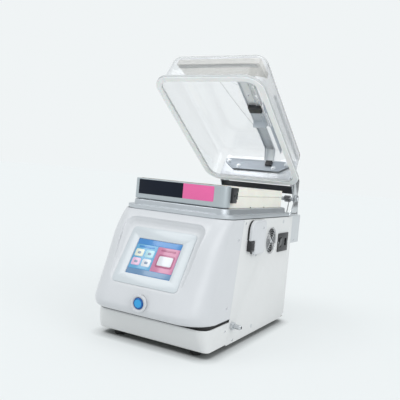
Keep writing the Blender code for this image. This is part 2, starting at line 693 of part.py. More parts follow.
# ---- lid and hinge arms, modelled closed under their turned axes ----------
ARM_AXIS = empty("arm_axis", (0, SWING_Y, SWING_Z), ROOT, (-ARM_SWING, 0, 0))
ARMS = empty("arm_frame", (0, -SWING_Y, -SWING_Z), ARM_AXIS)
LID_AXIS = empty("lid_axis", (0, TILT_Y, TILT_Z), ARMS, (LID_TILT, 0, 0))
LID = empty("lid_frame", (0, -TILT_Y, -TILT_Z), LID_AXIS)


def lid_ring(inset, height):
    """Rounded outline of the lid at a height over its rim plane."""
    low, high = (-LID_HALF_WIDTH, LID_FRONT), (LID_HALF_WIDTH, LID_REAR)
    return ring_at(inset, LID_PLANE + height, low, high, LID_CORNER)


def lid_shell():
    """Clear domed lid with a thick rim."""
    outer = [(0.001, 0.0), (0.0, 0.001), (0.0, LID_FLANGE - 0.001), (0.001, LID_FLANGE),
             (0.0115, LID_FLANGE), (LID_WALL_INSET[0], LID_FLANGE + 0.002)]
    outer += dome_corner(LID_WALL_INSET[1], LID_DEPTH, LID_SHOULDER)
    inner = dome_corner(LID_WALL_INSET[1] + LID_WALL, LID_DEPTH - LID_WALL, LID_SHOULDER - LID_WALL)
    inner = [(0.0195, 0.0), (0.0195, 0.004), (LID_WALL_INSET[0] + LID_WALL, LID_FLANGE + 0.002)] + inner
    rings = [lid_ring(*level) for level in list(reversed(inner)) + outer]
    loft("lid_shell", rings, CLEAR, LID)


def dome_corner(inset, height, radius, steps=5):
    """Quarter round between the lid's wall and its top."""
    levels = []
    for step in range(steps + 1):
        turn = math.pi / 2 * step / steps
        levels.append((inset + radius - radius * math.cos(turn), height - radius + radius * math.sin(turn)))
    return levels


def lid_gasket():
    """Soft square-section gasket under the lid's rim, all the way round."""
    levels = [(0.0010, LID_PLANE - GAP), (0.0010, LID_PLANE - GASKET_HEIGHT),
              (0.0185, LID_PLANE - GASKET_HEIGHT), (0.0185, LID_PLANE - GAP)]
    low, high = (-LID_HALF_WIDTH, LID_FRONT), (LID_HALF_WIDTH, LID_REAR)
    rings = [ring_at(inset, z, low, high, LID_CORNER) for inset, z in levels]
    loft("lid_gasket", [*rings, rings[0]], WHITE_RUBBER, LID, cap_first=False, cap_last=False)


def press_bar():
    """Upper bar inside the lid, with the silicone strip that meets the seal bar."""
    ceiling = LID_PLANE + LID_DEPTH - LID_WALL
    front, step, rear = STRIP_Y - 0.010, STRIP_Y + 0.010, PRESS_REAR
    top, shelf, bottom = ceiling - 0.006, ceiling - 0.0265, ceiling - 0.031
    section = [(front, bottom), (step, bottom), (step, shelf), (rear, shelf), (rear, top - 0.004),
               (rear - 0.004, top), (front + 0.003, top), (front, top - 0.003)]
    upright_plate("press_bar", [section], 0.0, 2 * PRESS_HALF_WIDTH, CREAM, LID)
    box("press_silicone", (-0.130, STRIP_Y - 0.006, bottom - 0.0038),
        (0.130, STRIP_Y + 0.006, bottom - GAP), RUBBER, LID)


def lid_fittings():
    """Stainless pieces bolted in and on the lid."""
    ceiling = LID_PLANE + LID_DEPTH - LID_WALL
    wall = LID_REAR - LID_WALL_INSET[1] - LID_WALL - GAP
    half = [(0.088, 0.410), (0.122, 0.433), (0.127, 0.444), (0.114, 0.454)]
    plate = half + [(-x, z) for x, z in reversed(half)]
    inner = flat_plate("lid_inner_plate", [plate], 0.003, STAINLESS, LID)
    inner.location = (0, wall - 0.0015, 0)
    inner.rotation_euler = (math.pi / 2, 0, 0)
    start = PRESS_REAR + 0.0015
    strip = [(start, ceiling - 0.0035), (start, ceiling - 0.0065), (wall - 0.030, ceiling - 0.0065),
             (wall - 0.0075, ceiling - 0.045), (wall - 0.0045, ceiling - 0.044),
             (wall - 0.028, ceiling - 0.0035)]
    upright_plate("lid_brace", [strip], 0.048, 0.034, STAINLESS, LID)
    link = rounded_rectangle((0.150, ceiling - 0.050), (wall - 0.036, ceiling - 0.036), 0.006, 4)
    side = LID_HALF_WIDTH - LID_WALL_INSET[1] - LID_WALL
    upright_plate("lid_side_link", [link], side - 0.0030, 0.0025, STAINLESS, LID)
    box("lid_hinge_plate", (-EAR_X - 0.002, HINGE_PLATE_REAR - 0.0032, LID_PLANE + LID_FLANGE + 0.0025),
        (EAR_X + 0.002, HINGE_PLATE_REAR, 0.460), STAINLESS, LID)


def round_end(centre, radius, first, last, steps=6):
    """Points of an arc, with angles in degrees."""
    turns = [math.radians(first + (last - first) * i / steps) for i in range(steps + 1)]
    return [(centre[0] + radius * math.cos(t), centre[1] + radius * math.sin(t)) for t in turns]


def hinge():
    """Stands on the hinge box, arms that swing up from them, and the lid's ears on the arms' heads."""
    swing, tilt = (SWING_Y, SWING_Z), (TILT_Y, TILT_Z)
    rim_top = LID_PLANE + LID_FLANGE + 0.001
    swing_bore = circle_points(SHAFT_RADIUS + 0.0001, swing, 24)
    tilt_bore = circle_points(SHAFT_RADIUS + 0.0001, tilt, 24)
    arm = [*round_end(tilt, 0.013, 200, 270), *round_end(swing, 0.016, -80, 60),
           (0.585, 0.446), (0.545, 0.456), (0.5275, 0.440)]
    ear_front = HINGE_PLATE_REAR + GAP
    ear = [(ear_front, rim_top), (LID_REAR + 0.003, rim_top), *round_end(tilt, 0.011, 250, 390),
           (ear_front, 0.446)]
    stand = [(0.545, BODY_TOP), (0.628, BODY_TOP), *round_end(swing, 0.016, -20, 150), (0.572, 0.395)]
    for side, sign in SIDE:
        upright_plate("hinge_stand_" + side, [stand, swing_bore], sign * STAND_X, 0.004, STAINLESS)
        upright_plate("lid_arm_" + side, [arm, swing_bore, tilt_bore], sign * ARM_X, 0.004, STAINLESS, ARMS)
        upright_plate("lid_ear_" + side, [ear, tilt_bore], sign * EAR_X, 0.004, STAINLESS, LID)
        tube("lid_spring_" + side, spring_points(sign), 0.0016, SPRING_STEEL)
    lean = math.atan2(TILT_Z - SWING_Z, TILT_Y - SWING_Y)
    corners = [(along, off) for along, off in ((HINGE_COVER[0], -0.0015), (HINGE_COVER[1], -0.0015),
                                               (HINGE_COVER[1], 0.0015), (HINGE_COVER[0], 0.0015))]
    cover = [(SWING_Y + along * math.cos(lean) - off * math.sin(lean),
              SWING_Z + along * math.sin(lean) + off * math.cos(lean)) for along, off in corners]
    upright_plate("hinge_cover", [cover], 0.0, 2 * (ARM_X - 0.002 - GAP), BLACK, ARMS)
    reach = STAND_X + 0.005
    cylinder("hinge_shaft", SHAFT_RADIUS, -reach, reach, swing, "X", STAINLESS, ARMS, 24)
    reach = ARM_X + 0.0045
    cylinder("tilt_rod", SHAFT_RADIUS, -reach, reach, tilt, "X", STAINLESS, ARMS, 24)


def spring_points(sign, turns=5, per_turn=10):
    """Torsion spring round the shaft, with a leg down to the hinge box."""
    radius, pitch = 0.0105, 0.0042
    start = sign * (EAR_X - 0.010)
    points = [(start, SWING_Y - 0.026, BODY_TOP + 0.0022)]
    for i in range(turns * per_turn + 1):
        turn = math.radians(200) + 2 * math.pi * i / per_turn
        x = start - sign * pitch * i / per_turn
        points.append((x, SWING_Y + radius * math.cos(turn), SWING_Z + radius * math.sin(turn)))
    return points


# ---- inside the body ----------------------------------------------------
PUMP_X = -0.070
PUMP_Z = 0.088


def vacuum_unit():
    """Rotary pump, motor and the coupling shaft between them."""
    floor = FOOT_HEIGHT + 0.004 + GAP
    pump = box("vacuum_pump", (PUMP_X - 0.065, 0.120, floor), (PUMP_X + 0.065, 0.230, 0.168), CAST_IRON,
               round_by=0.006)
    for index in range(5):
        fin = box("pump_fin_cutter_%d" % index, (PUMP_X - 0.08, 0.130 + 0.02 * index, 0.150),
                  (PUMP_X + 0.08, 0.140 + 0.02 * index, 0.18), None, home=cutters)
        cut(pump, fin)
    bore = cylinder("pump_bore_cutter", 0.0083, 0.205, 0.240, (PUMP_X, PUMP_Z), "Y", None, sides=24,
                    home=cutters)
    cut(pump, bore)
    motor = cylinder("pump_motor", 0.066, 0.268, 0.430, (PUMP_X, PUMP_Z), "Y", CAST_IRON, sides=40)
    bevel(motor, 0.004)
    seat = cylinder("motor_bore_cutter", 0.0083, 0.250, 0.290, (PUMP_X, PUMP_Z), "Y", None, sides=24,
                    home=cutters)
    cut(motor, seat)
    box("motor_mount", (PUMP_X - 0.050, 0.310, floor), (PUMP_X + 0.050, 0.390, PUMP_Z - 0.066 - GAP), ZINC)
    axis = empty("motor_axis", (PUMP_X, 0.250, PUMP_Z), ROOT, (-math.pi / 2, 0, 0))
    turned("motor_shaft", [(0.0, 0.038), (0.008, 0.038), (0.008, 0.014), (0.021, 0.014), (0.021, 0.001),
                           (0.018, 0.0), (0.021, -0.001), (0.021, -0.014), (0.008, -0.014), (0.008, -0.040),
                           (0.0, -0.040)], STAINLESS, axis, 24)


def electrics():
    """Sealing transformer, control board and vent valve."""
    floor = FOOT_HEIGHT + 0.004 + GAP
    core = box("seal_transformer", (0.050, 0.330, floor), (0.140, 0.400, 0.105), CAST_IRON, round_by=0.002)
    coil = box("transformer_coil", (0.068, 0.312, 0.034), (0.122, 0.418, 0.090), None, round_by=0.008,
               home=cutters)
    join(core, coil)
    board = box("control_board", (-0.1655, 0.150, 0.215), (-0.1639, 0.330, 0.335), BOARD)
    for index, (y, z) in enumerate(((0.158, 0.223), (0.322, 0.223), (0.158, 0.327), (0.322, 0.327))):
        post = cylinder("board_post_%d" % index, 0.003, -BODY_HALF_WIDTH + SHEET + GAP, -0.1645,
                        (y, z), "X", None,
                        sides=12, home=cutters)
        join(board, post)
    valve = cylinder("vent_valve", 0.017, 0.305, 0.338, (0.060, 0.474), "Z", BLACK, sides=24)
    neck = cylinder("valve_neck", 0.008, 0.330, BODY_TOP - GAP, (0.060, 0.474), "Z", None, sides=24,
                    home=cutters)
    join(valve, neck)


def vacuum_hose():
    """Hose from the pump's top to the port under the tray."""
    route = [(PUMP_X, 0.180, 0.1685), (PUMP_X, 0.180, 0.200), (PUMP_X, 0.200, 0.250),
             (PUMP_X + 0.010, 0.300, 0.300), (PUMP_X + 0.040, 0.400, 0.312), (-0.010, 0.462, 0.318),
             (0.0, 0.474, 0.336), (0.0, 0.474, BODY_TOP - 0.006)]
    tube("vacuum_hose", blend_points(route, 3), 0.009, HOSE)


front_cover()
lower_front_cover()
display_bezel()
screen_block("touch_screen", -0.004, 0.0006, 0.0, GLASS)
start_button()
side_panels()
sheet_frame()
feet()
fan()
air_cowl()
power_inlet()
hose_barb()
chamber_tray()
seal_bar()
filler_block()
lid_shell()
lid_gasket()
press_bar()
lid_fittings()
hinge()
vacuum_unit()
electrics()
vacuum_hose()
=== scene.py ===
"""Looks of a tabletop chamber vacuum packing machine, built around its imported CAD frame.

Every shape is worked out in the machine's own frame, with the lid closed: X to the right, Y to
the back from the front edge of the chamber tray, Z up from the ground, in metres. PLACE then
puts each body's pieces where the frame has them at rest, which is with the lid open.
"""
import json
import math

import bmesh
import bpy
from mathutils import Matrix, Vector
from mathutils.bvhtree import BVHTree


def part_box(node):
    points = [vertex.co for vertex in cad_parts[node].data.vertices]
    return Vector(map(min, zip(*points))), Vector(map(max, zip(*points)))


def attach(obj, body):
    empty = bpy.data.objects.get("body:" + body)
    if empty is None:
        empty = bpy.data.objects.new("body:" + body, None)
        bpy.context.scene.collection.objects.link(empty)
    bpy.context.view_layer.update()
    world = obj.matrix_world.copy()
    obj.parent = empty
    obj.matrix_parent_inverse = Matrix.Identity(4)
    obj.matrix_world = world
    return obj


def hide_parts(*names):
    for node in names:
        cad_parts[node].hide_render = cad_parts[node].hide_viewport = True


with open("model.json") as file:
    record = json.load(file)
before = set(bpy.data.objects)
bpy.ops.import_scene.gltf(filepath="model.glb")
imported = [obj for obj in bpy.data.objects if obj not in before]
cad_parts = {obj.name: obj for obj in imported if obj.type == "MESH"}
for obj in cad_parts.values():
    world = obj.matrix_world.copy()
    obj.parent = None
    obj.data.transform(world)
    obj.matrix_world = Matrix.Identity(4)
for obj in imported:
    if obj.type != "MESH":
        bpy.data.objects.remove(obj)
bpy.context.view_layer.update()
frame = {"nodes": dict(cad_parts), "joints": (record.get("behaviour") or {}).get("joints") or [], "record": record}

# ---- places and sizes -----------------------------------------------------
TRAY_LOW, TRAY_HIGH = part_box("chamber_tray")
ORIGIN = Vector(((TRAY_LOW.x + TRAY_HIGH.x) / 2, TRAY_LOW.y, 0))
JOINTS = {joint["name"]: joint for joint in frame["joints"]}


def node_box(node):
    """A CAD node's lowest and highest corner in the machine frame, for pieces not on the lid."""
    low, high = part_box(node)
    return low - ORIGIN, high - ORIGIN


def turned_about(point, degrees):
    """A turn about the X direction through a point."""
    turn = Matrix.Rotation(math.radians(degrees), 4, "X")
    return Matrix.Translation(point) @ turn @ Matrix.Translation(-point)


SWING = Vector(JOINTS["hinge_arm_swing"]["pos_m"]) - ORIGIN
ARM_SWING = JOINTS["hinge_arm_swing"]["range_deg"][1]
TILT_RATIO = frame["record"]["behaviour"]["couplings"][0]["ratio"]
ARMS_OPEN = turned_about(SWING, -ARM_SWING)
TILT = ARMS_OPEN.inverted() @ (Vector(JOINTS["lid_tilt"]["pos_m"]) - ORIGIN)
LID_OPEN = ARMS_OPEN @ turned_about(TILT, -TILT_RATIO * ARM_SWING)
BASE = Matrix.Translation(ORIGIN)
PLACE = {"lid": BASE @ LID_OPEN, "hinge_arms": BASE @ ARMS_OPEN}

SHEET = 0.0015
WALL = 0.003
GAP = 0.0003
HALF = -node_box("side_panel_left")[0].x
BODY_TOP = TRAY_LOW.z
BODY_DEPTH = node_box("rear_panel")[1].y
FOOT_HEIGHT = 0.014
SEAM_TOP_Y, SEAM_BOTTOM_Y = 0.100, 0.053
COVER_SPLIT_Z = 0.087
NOSE_Y = -0.133

TRAY_HALF, TRAY_DEPTH, TRAY_CORNER = 0.1715, 0.518, 0.050
FLANGE_TOP, TRAY_TOP, TRAY_STEP = 0.371, TRAY_HIGH.z, 0.0165

PANEL_LEAN = math.radians(58.2)
PANEL_TOP = (-0.022, 0.312)
PANEL_HALF, PANEL_LENGTH = 0.1014, 0.168
SCREEN_HALF, SCREEN_FROM, SCREEN_TO = 0.0693, 0.0345, 0.1385
RECESS_HALF, RECESS_NARROWING = 0.126, 0.14
RECESS_FROM, RECESS_TO, RECESS_CORNER = -0.022, 0.174, 0.030
BUTTON_X, BUTTON_Z = 0.008, 0.131

LID_HALF, LID_FRONT, LID_REAR, LID_CORNER = 0.180, -0.006, 0.524, 0.056
LID_PLANE = FLANGE_TOP + 0.003
LID_DEPTH, LID_WALL, LID_RIM, LID_SHOULDER = 0.1199, 0.004, 0.009, 0.031
WALL_INSET = 0.0175
CEILING = LID_PLANE + LID_DEPTH - LID_WALL
REAR_WALL = LID_REAR - WALL_INSET - LID_WALL - GAP
PRESS_HALF, PRESS_REAR = 0.138, 0.098
HINGE_PLATE_REAR = 0.514
HINGE_COVER = (0.0145, 0.053)

BAR_LOW, BAR_HIGH = node_box("seal_bar")
BLOCK_LOW, BLOCK_HIGH = node_box("filler_block")
STRIP_Y, SEAL_CYLINDER_X = 0.041, 0.100
PORT = (0.0, 0.474)
FAN = (0.3150, 0.288)
INLET = (0.420, 0.277)
STAND_X, ARM_X, EAR_X = 0.148, 0.141, 0.134
SHAFT_RADIUS, SHAFT_PLAY, HINGE_SHEET = 0.007, 0.0001, 0.004

# ---- camera ---------------------------------------------------------------
CAMERA_AZIMUTH, CAMERA_ELEVATION, CAMERA_ROLL = (math.radians(d) for d in (28.574, 2.662, 5.301))
CAMERA_PLACE = (0.7662, -1.5357, 0.4714)
CAMERA_LENS, CAMERA_SENSOR = 49.023, 36


def placed(name, data):
    """A new object in the scene for a mesh, a curve, a light or the camera."""
    made = bpy.data.objects.new(name, data)
    bpy.context.scene.collection.objects.link(made)
    return made


def camera():
    """The camera at the photograph's angle, rolled a little."""
    level = math.cos(CAMERA_ELEVATION)
    back = Vector((math.sin(CAMERA_AZIMUTH) * level, -math.cos(CAMERA_AZIMUTH) * level,
                   math.sin(CAMERA_ELEVATION)))
    right = Vector((0, 0, 1)).cross(back).normalized()
    rolled_right = math.cos(CAMERA_ROLL) * right + math.sin(CAMERA_ROLL) * back.cross(right)
    data = bpy.data.cameras.new("camera")
    data.lens, data.sensor_width = CAMERA_LENS, CAMERA_SENSOR
    made = placed("camera", data)
    turn = Matrix((rolled_right, back.cross(rolled_right), back)).transposed().to_4x4()
    made.matrix_world = Matrix.Translation(CAMERA_PLACE) @ turn
    bpy.context.scene.camera = made


# ---- materials ------------------------------------------------------------
MATERIALS, SLOTS = {}, {}
DRIFT_SCALE, WEAR_RANGE, ROUGHNESS_DRIFT = 14.0, (0.52, 0.60), 0.15


def colour_sockets(mix):
    """The colour sockets of a Mix node: its two inputs and its result."""
    first, second = (socket for socket in mix.inputs if socket.type == "RGBA")
    return first, second, next(socket for socket in mix.outputs if socket.type == "RGBA")


class Nodes:
    """Short names for the nodes that the materials share."""

    def __init__(self, name):
        self.material = bpy.data.materials.new(name)
        self.material.use_nodes = True
        self.tree = self.material.node_tree
        self.shader = self.tree.nodes["Principled BSDF"]
        self.place = self.add("ShaderNodeTexCoord").outputs["Object"]

    def add(self, kind, **settings):
        """One node with its settings and socket values."""
        node = self.tree.nodes.new(kind)
        for key, value in settings.items():
            if key in node.inputs:
                node.inputs[key].default_value = value
            else:
                setattr(node, key, value)
        return node

    def link(self, source, target):
        """Join two sockets."""
        self.tree.links.new(source, target)

    def noise(self, scale, stretch=(1, 1, 1), detail=4.0):
        """Noise in metres, drawn out along an axis by a small stretch value."""
        mapping = self.add("ShaderNodeMapping")
        mapping.inputs["Scale"].default_value = stretch
        self.link(self.place, mapping.inputs["Vector"])
        noise = self.add("ShaderNodeTexNoise", Scale=scale, Detail=detail)
        self.link(mapping.outputs[0], noise.inputs["Vector"])
        return noise.outputs["Fac"]

    def ramp(self, factor, low, high, start=0.3, end=0.7):
        """Colour between two, by a factor."""
        ramp = self.add("ShaderNodeValToRGB")
        for element, position, colour in zip(ramp.color_ramp.elements, (start, end), (low, high)):
            element.position, element.color = position, (*colour, 1)
        self.link(factor, ramp.inputs[0])
        return ramp.outputs[0]

    def spread(self, factor, low, high):
        """A value between two, by a factor."""
        spread = self.add("ShaderNodeMapRange")
        for socket, value in (("From Min", 0.3), ("From Max", 0.7), ("To Min", low), ("To Max", high)):
            spread.inputs[socket].default_value = value
        self.link(factor, spread.inputs[0])
        return spread.outputs[0]

    def bump(self, height, strength, distance):
        """Relief on the surface."""
        bump = self.add("ShaderNodeBump", Strength=strength, Distance=distance)
        self.link(height, bump.inputs["Height"])
        self.link(bump.outputs[0], self.shader.inputs["Normal"])


def surface(name, slot, colour, roughness, vary=0.03, grain=900.0, stretch=(1, 1, 1), relief=0.08,
            depth=0.0002, worn=0.0, **constants):
    """A procedural finish: colour drift, roughness from the grain, relief and lighter worn edges."""
    nodes = Nodes(name)
    broad = nodes.noise(DRIFT_SCALE)
    fine = nodes.noise(grain, stretch)
    low = tuple(max(c * (1 - vary), 0) for c in colour)
    high = tuple(min(c * (1 + vary), 1) for c in colour)
    tint = nodes.ramp(broad, low, high)
    if worn:
        pointiness = nodes.add("ShaderNodeNewGeometry").outputs["Pointiness"]
        mix = nodes.add("ShaderNodeMix", data_type="RGBA")
        body, edge, result = colour_sockets(mix)
        edge.default_value = (*(min(c + worn, 1) for c in colour), 1)
        nodes.link(nodes.ramp(pointiness, (0, 0, 0), (1, 1, 1), *WEAR_RANGE), mix.inputs[0])
        nodes.link(tint, body)
        tint = result
    nodes.link(tint, nodes.shader.inputs["Base Color"])
    rough = nodes.spread(fine, roughness * (1 - ROUGHNESS_DRIFT), min(roughness * (1 + ROUGHNESS_DRIFT), 1))
    nodes.link(rough, nodes.shader.inputs["Roughness"])
    nodes.bump(fine, relief, depth)
    for key, value in constants.items():
        nodes.shader.inputs[key.replace("_", " ")].default_value = value
    MATERIALS[name], SLOTS[name] = nodes.material, slot
    return nodes


BRUSH_X = (0.03, 1, 1)
BRUSH_Z = (1, 1, 0.03)


def materials():
    """Every finish on the machine."""
    surface("white_moulding", "white_paint", (0.600, 0.612, 0.636), 0.34, 0.012, 1400, relief=0.05,
            Coat_Weight=0.25, Coat_Roughness=0.18)
    surface("white_powder_coat", "white_paint", (0.680, 0.686, 0.688), 0.42, 0.012, 1100, relief=0.12)
    surface("panel_plate", "white_paint", (0.56, 0.60, 0.63), 0.30, 0.012, 1400, relief=0.03,
            Coat_Weight=0.3)
    surface("grey_powder_coat", "light_grey_paint", (0.54, 0.565, 0.585), 0.42, 0.015, 1100,
            relief=0.12)
    surface("cast_aluminium_tray", "aluminium", (0.50, 0.53, 0.56), 0.36, 0.05, 700, BRUSH_X, 0.15,
            worn=0.15, Metallic=0.75)
    surface("anodised_bar", "aluminium", (0.40, 0.445, 0.47), 0.40, 0.03, 600, BRUSH_X, 0.10, worn=0.12,
            Metallic=0.50)
    surface("stainless", "stainless", (0.60, 0.62, 0.64), 0.20, 0.10, 500, BRUSH_X, 0.12, worn=0.10,
            Metallic=1.0)
    surface("stainless_upright", "stainless", (0.60, 0.62, 0.64), 0.22, 0.10, 500, BRUSH_Z, 0.12,
            worn=0.10, Metallic=1.0)
    surface("stainless_soft", "stainless", (0.60, 0.63, 0.66), 0.36, 0.08, 500, BRUSH_X, 0.12,
            worn=0.10, Metallic=0.6)
    surface("satin_plate", "stainless", (0.36, 0.40, 0.45), 0.45, 0.06, 500, BRUSH_X, 0.12, worn=0.12,
            Metallic=0.3)
    surface("cream_bar", "cream_plastic", (0.60, 0.585, 0.555), 0.46, 0.03, 420, BRUSH_X, 0.10)
    surface("tan_plastic", "nichrome", (0.62, 0.52, 0.44), 0.45, 0.06, 900, relief=0.10)
    surface("grey_silicone", "black_rubber", (0.35, 0.35, 0.35), 0.55, 0.06, 700, relief=0.15)
    surface("zinc", "zinc", (0.58, 0.58, 0.54), 0.42, 0.15, 160, relief=0.10, Metallic=1.0)
    surface("wire", "spring", (0.72, 0.73, 0.75), 0.24, 0.05, 900, relief=0.06, Metallic=1.0)
    surface("dark_spring", "spring", (0.28, 0.28, 0.29), 0.32, 0.08, 900, relief=0.08, Metallic=1.0)
    surface("black_moulding", "black_plastic", (0.022, 0.022, 0.025), 0.42, 0.15, 1500, relief=0.15)
    surface("black_gloss", "black_plastic", (0.012, 0.012, 0.015), 0.16, 0.15, 1500, relief=0.03)
    surface("rubber", "black_rubber", (0.020, 0.020, 0.021), 0.75, 0.2, 700, relief=0.25)
    surface("gasket_silicone", "white_silicone", (0.84, 0.85, 0.85), 0.45, 0.02, 500, relief=0.10,
            Subsurface_Weight=0.12, Subsurface_Scale=0.003)
    surface("cream_polyethylene", "cream_plastic", (0.80, 0.78, 0.71), 0.44, 0.03, 420, BRUSH_X, 0.10,
            Subsurface_Weight=0.15, Subsurface_Scale=0.004)
    surface("button_dark_blue", "blue_plastic", (0.008, 0.10, 0.36), 0.20, 0.06, 1200, relief=0.03)
    surface("button_light_blue", "blue_plastic", (0.03, 0.34, 0.70), 0.16, 0.06, 1200, relief=0.03)
    surface("heating_tape", "nichrome", (0.30, 0.17, 0.08), 0.45, 0.12, 500, (1, 1, 1), 0.25)
    surface("nichrome_strip", "nichrome", (0.42, 0.38, 0.34), 0.3, 0.1, 500, BRUSH_X, 0.1, Metallic=1.0)
    surface("cast_paint", "cast_aluminium", (0.20, 0.22, 0.25), 0.5, 0.10, 260, relief=0.35,
            depth=0.0005)
    surface("core_laminations", "core_steel", (0.16, 0.16, 0.17), 0.42, 0.18, 900, (0.05, 0.05, 1), 0.6)
    surface("board_green", "board", (0.015, 0.16, 0.07), 0.30, 0.10, 700, relief=0.06)
    surface("hose_rubber", "hose", (0.16, 0.17, 0.18), 0.55, 0.12, 700, relief=0.2)
    surface("label_dark", "aluminium", (0.006, 0.010, 0.020), 0.36, 0.1, 1400, relief=0.03,
            Specular_IOR_Level=0.15)
    surface("label_pink", "aluminium", (0.80, 0.13, 0.36), 0.30, 0.02, 1400, relief=0.03)
    acrylic()
    for name, colour in SCREEN_COLOURS.items():
        nodes = surface("screen_" + name, "screen", colour, 0.18, 0.05, 1800, relief=0.0, Coat_Weight=0.4,
                        Coat_Roughness=0.08)
        nodes.shader.inputs["Emission Color"].default_value = (*colour, 1)
        nodes.shader.inputs["Emission Strength"].default_value = SCREEN_GLOW


SCREEN_GLOW = 0.10
SCREEN_COLOURS = {
    "deep_blue": (0.040, 0.17, 0.42), "header_blue": (0.040, 0.20, 0.48), "sky": (0.10, 0.32, 0.52),
    "rose": (0.50, 0.19, 0.31), "dark_rose": (0.36, 0.11, 0.20), "footer": (0.12, 0.23, 0.38),
    "white": (0.62, 0.64, 0.68), "cream": (0.60, 0.62, 0.52), "cyan": (0.38, 0.60, 0.66),
    "pink": (0.62, 0.40, 0.55), "icon": (0.20, 0.26, 0.36),
}


def acrylic():
    """Clear acrylic with a very light haze and fine wiping marks."""
    surface("clear_acrylic", "clear_acrylic", (0.955, 0.960, 0.970), 0.03, 0.004, 60, (1, 0.1, 1), 0.01,
            Transmission_Weight=0.97, IOR=1.49)
    surface("frosted_acrylic", "clear_acrylic", (0.74, 0.76, 0.77), 0.20, 0.01, 400, relief=0.04,
            Transmission_Weight=0.35, IOR=1.49)


# ---- shapes as mesh data --------------------------------------------------
WELD = 0.000002
SHARP = 35


def finished(bm, name, sharp=SHARP):
    """Mesh data with outward normals, smooth but for sharp edges."""
    bmesh.ops.remove_doubles(bm, verts=bm.verts, dist=WELD)
    bmesh.ops.recalc_face_normals(bm, faces=bm.faces)
    data = bpy.data.meshes.new(name)
    bm.to_mesh(data)
    bm.free()
    return smoothed(data, sharp)


def smoothed(data, sharp=SHARP):
    """Smooth shading with sharp edges kept."""
    data.shade_smooth()
    data.set_sharp_from_angle(angle=math.radians(sharp))
    return data


def block(low, high, radius=0.001, segments=3, name="block"):
    """A box with rounded edges."""
    bm = bmesh.new()
    bmesh.ops.create_cube(bm, size=1)
    low, high = Vector(low), Vector(high)
    for vert in bm.verts:
        vert.co = [low[i] if vert.co[i] < 0 else high[i] for i in range(3)]
    if radius:
        bmesh.ops.bevel(bm, geom=bm.edges[:], offset=radius, segments=segments, profile=0.5, affect="EDGES")
    return finished(bm, name)


def loft(rings, cap_first=True, cap_last=True, closed=True, name="loft", sharp=SHARP):
    """A skin through rings that all have the same number of points."""
    bm = bmesh.new()
    rows = [[bm.verts.new(point) for point in ring] for ring in rings]
    count = len(rings[0])
    for row, following in zip(rows, rows[1:]):
        for i in range(count if closed else count - 1):
            j = (i + 1) % count
            bm.faces.new((row[i], row[j], following[j], following[i]))
    if cap_first:
        bm.faces.new(rows[0])
    if cap_last:
        bm.faces.new(list(reversed(rows[-1])))
    return finished(bm, name, sharp)


AXES = {
    "X": Matrix(((0, 0, 1, 0), (1, 0, 0, 0), (0, 1, 0, 0), (0, 0, 0, 1))),
    "Y": Matrix(((0, 1, 0, 0), (0, 0, 1, 0), (1, 0, 0, 0), (0, 0, 0, 1))),
    "-Y": Matrix(((1, 0, 0, 0), (0, 0, -1, 0), (0, 1, 0, 0), (0, 0, 0, 1))),
    "-X": Matrix(((0, 0, -1, 0), (1, 0, 0, 0), (0, -1, 0, 0), (0, 0, 0, 1))),
    "Z": Matrix.Identity(4),
    "-Z": Matrix(((1, 0, 0, 0), (0, -1, 0, 0), (0, 0, -1, 0), (0, 0, 0, 1))),
}


def lathe(profile, place=(0, 0, 0), axis="Z", sides=64, name="lathe", sharp=SHARP):
    """A turned shape from (radius, height) points, its foot at a place and its top along an axis."""
    rings = [[(x, y, height) for x, y in circle(radius, count=sides)] for radius, height in profile]
    hollow = profile[0] == profile[-1]
    data = loft(rings, not hollow, not hollow, name=name, sharp=sharp)
    data.transform(Matrix.Translation(place) @ AXES[axis])
    return data


def rod(radius, start, end, centre, axis, sides=48, edge=0.0004):
    """A cylinder from start to end along X, Y or Z, with broken edges."""
    place = {"X": (start, *centre), "Y": (centre[0], start, centre[1]), "Z": (*centre, start)}[axis]
    top = end - start
    profile = [(0.0, top), (radius - edge, top), (radius, top - edge), (radius, edge), (radius - edge, 0.0),
               (0.0, 0.0)]
    return lathe(profile, place, axis, sides, "rod")


def circle(radius, centre=(0, 0), count=64):
    """Points around a circle."""
    turns = [2 * math.pi * i / count for i in range(count)]
    return [(centre[0] + radius * math.cos(t), centre[1] + radius * math.sin(t)) for t in turns]


def rounded(low, high, radii, steps=12):
    """A rectangle's outline with a radius, or one each for its corners from high X, high Y round."""
    radii = [radii] * 4 if isinstance(radii, (int, float)) else radii
    corners = ((high[0], high[1]), (low[0], high[1]), (low[0], low[1]), (high[0], low[1]))
    points = []
    for quarter, ((x, y), radius) in enumerate(zip(corners, radii)):
        centre_x = x - radius if quarter in (0, 3) else x + radius
        centre_y = y - radius if quarter in (0, 1) else y + radius
        for step in range(steps + 1):
            turn = math.pi / 2 * (quarter + step / steps)
            points.append((centre_x + radius * math.cos(turn), centre_y + radius * math.sin(turn)))
    return points


def evaluated(made):
    """An object's mesh with its modifiers or its bevel applied, after which the object goes."""
    data = bpy.data.meshes.new_from_object(made.evaluated_get(bpy.context.evaluated_depsgraph_get()))
    bpy.data.objects.remove(made)
    return data


def as_mesh(loops, cyclic, matrix=AXES["Z"], sharp=SHARP, **settings):
    """The welded mesh of a bevelled or filled curve through loops of points."""
    curve = bpy.data.curves.new("curve", "CURVE")
    for key, value in settings.items():
        setattr(curve, key, value)
    for points in loops:
        spline = curve.splines.new("POLY")
        spline.points.add(len(points) - 1)
        for point, place in zip(spline.points, points):
            point.co = (*place, 1)
        spline.use_cyclic_u = cyclic
    data = evaluated(placed("curve_work", curve))
    data.transform(matrix)
    bm = bmesh.new()
    bm.from_mesh(data)
    return finished(bm, "from_curve", sharp)


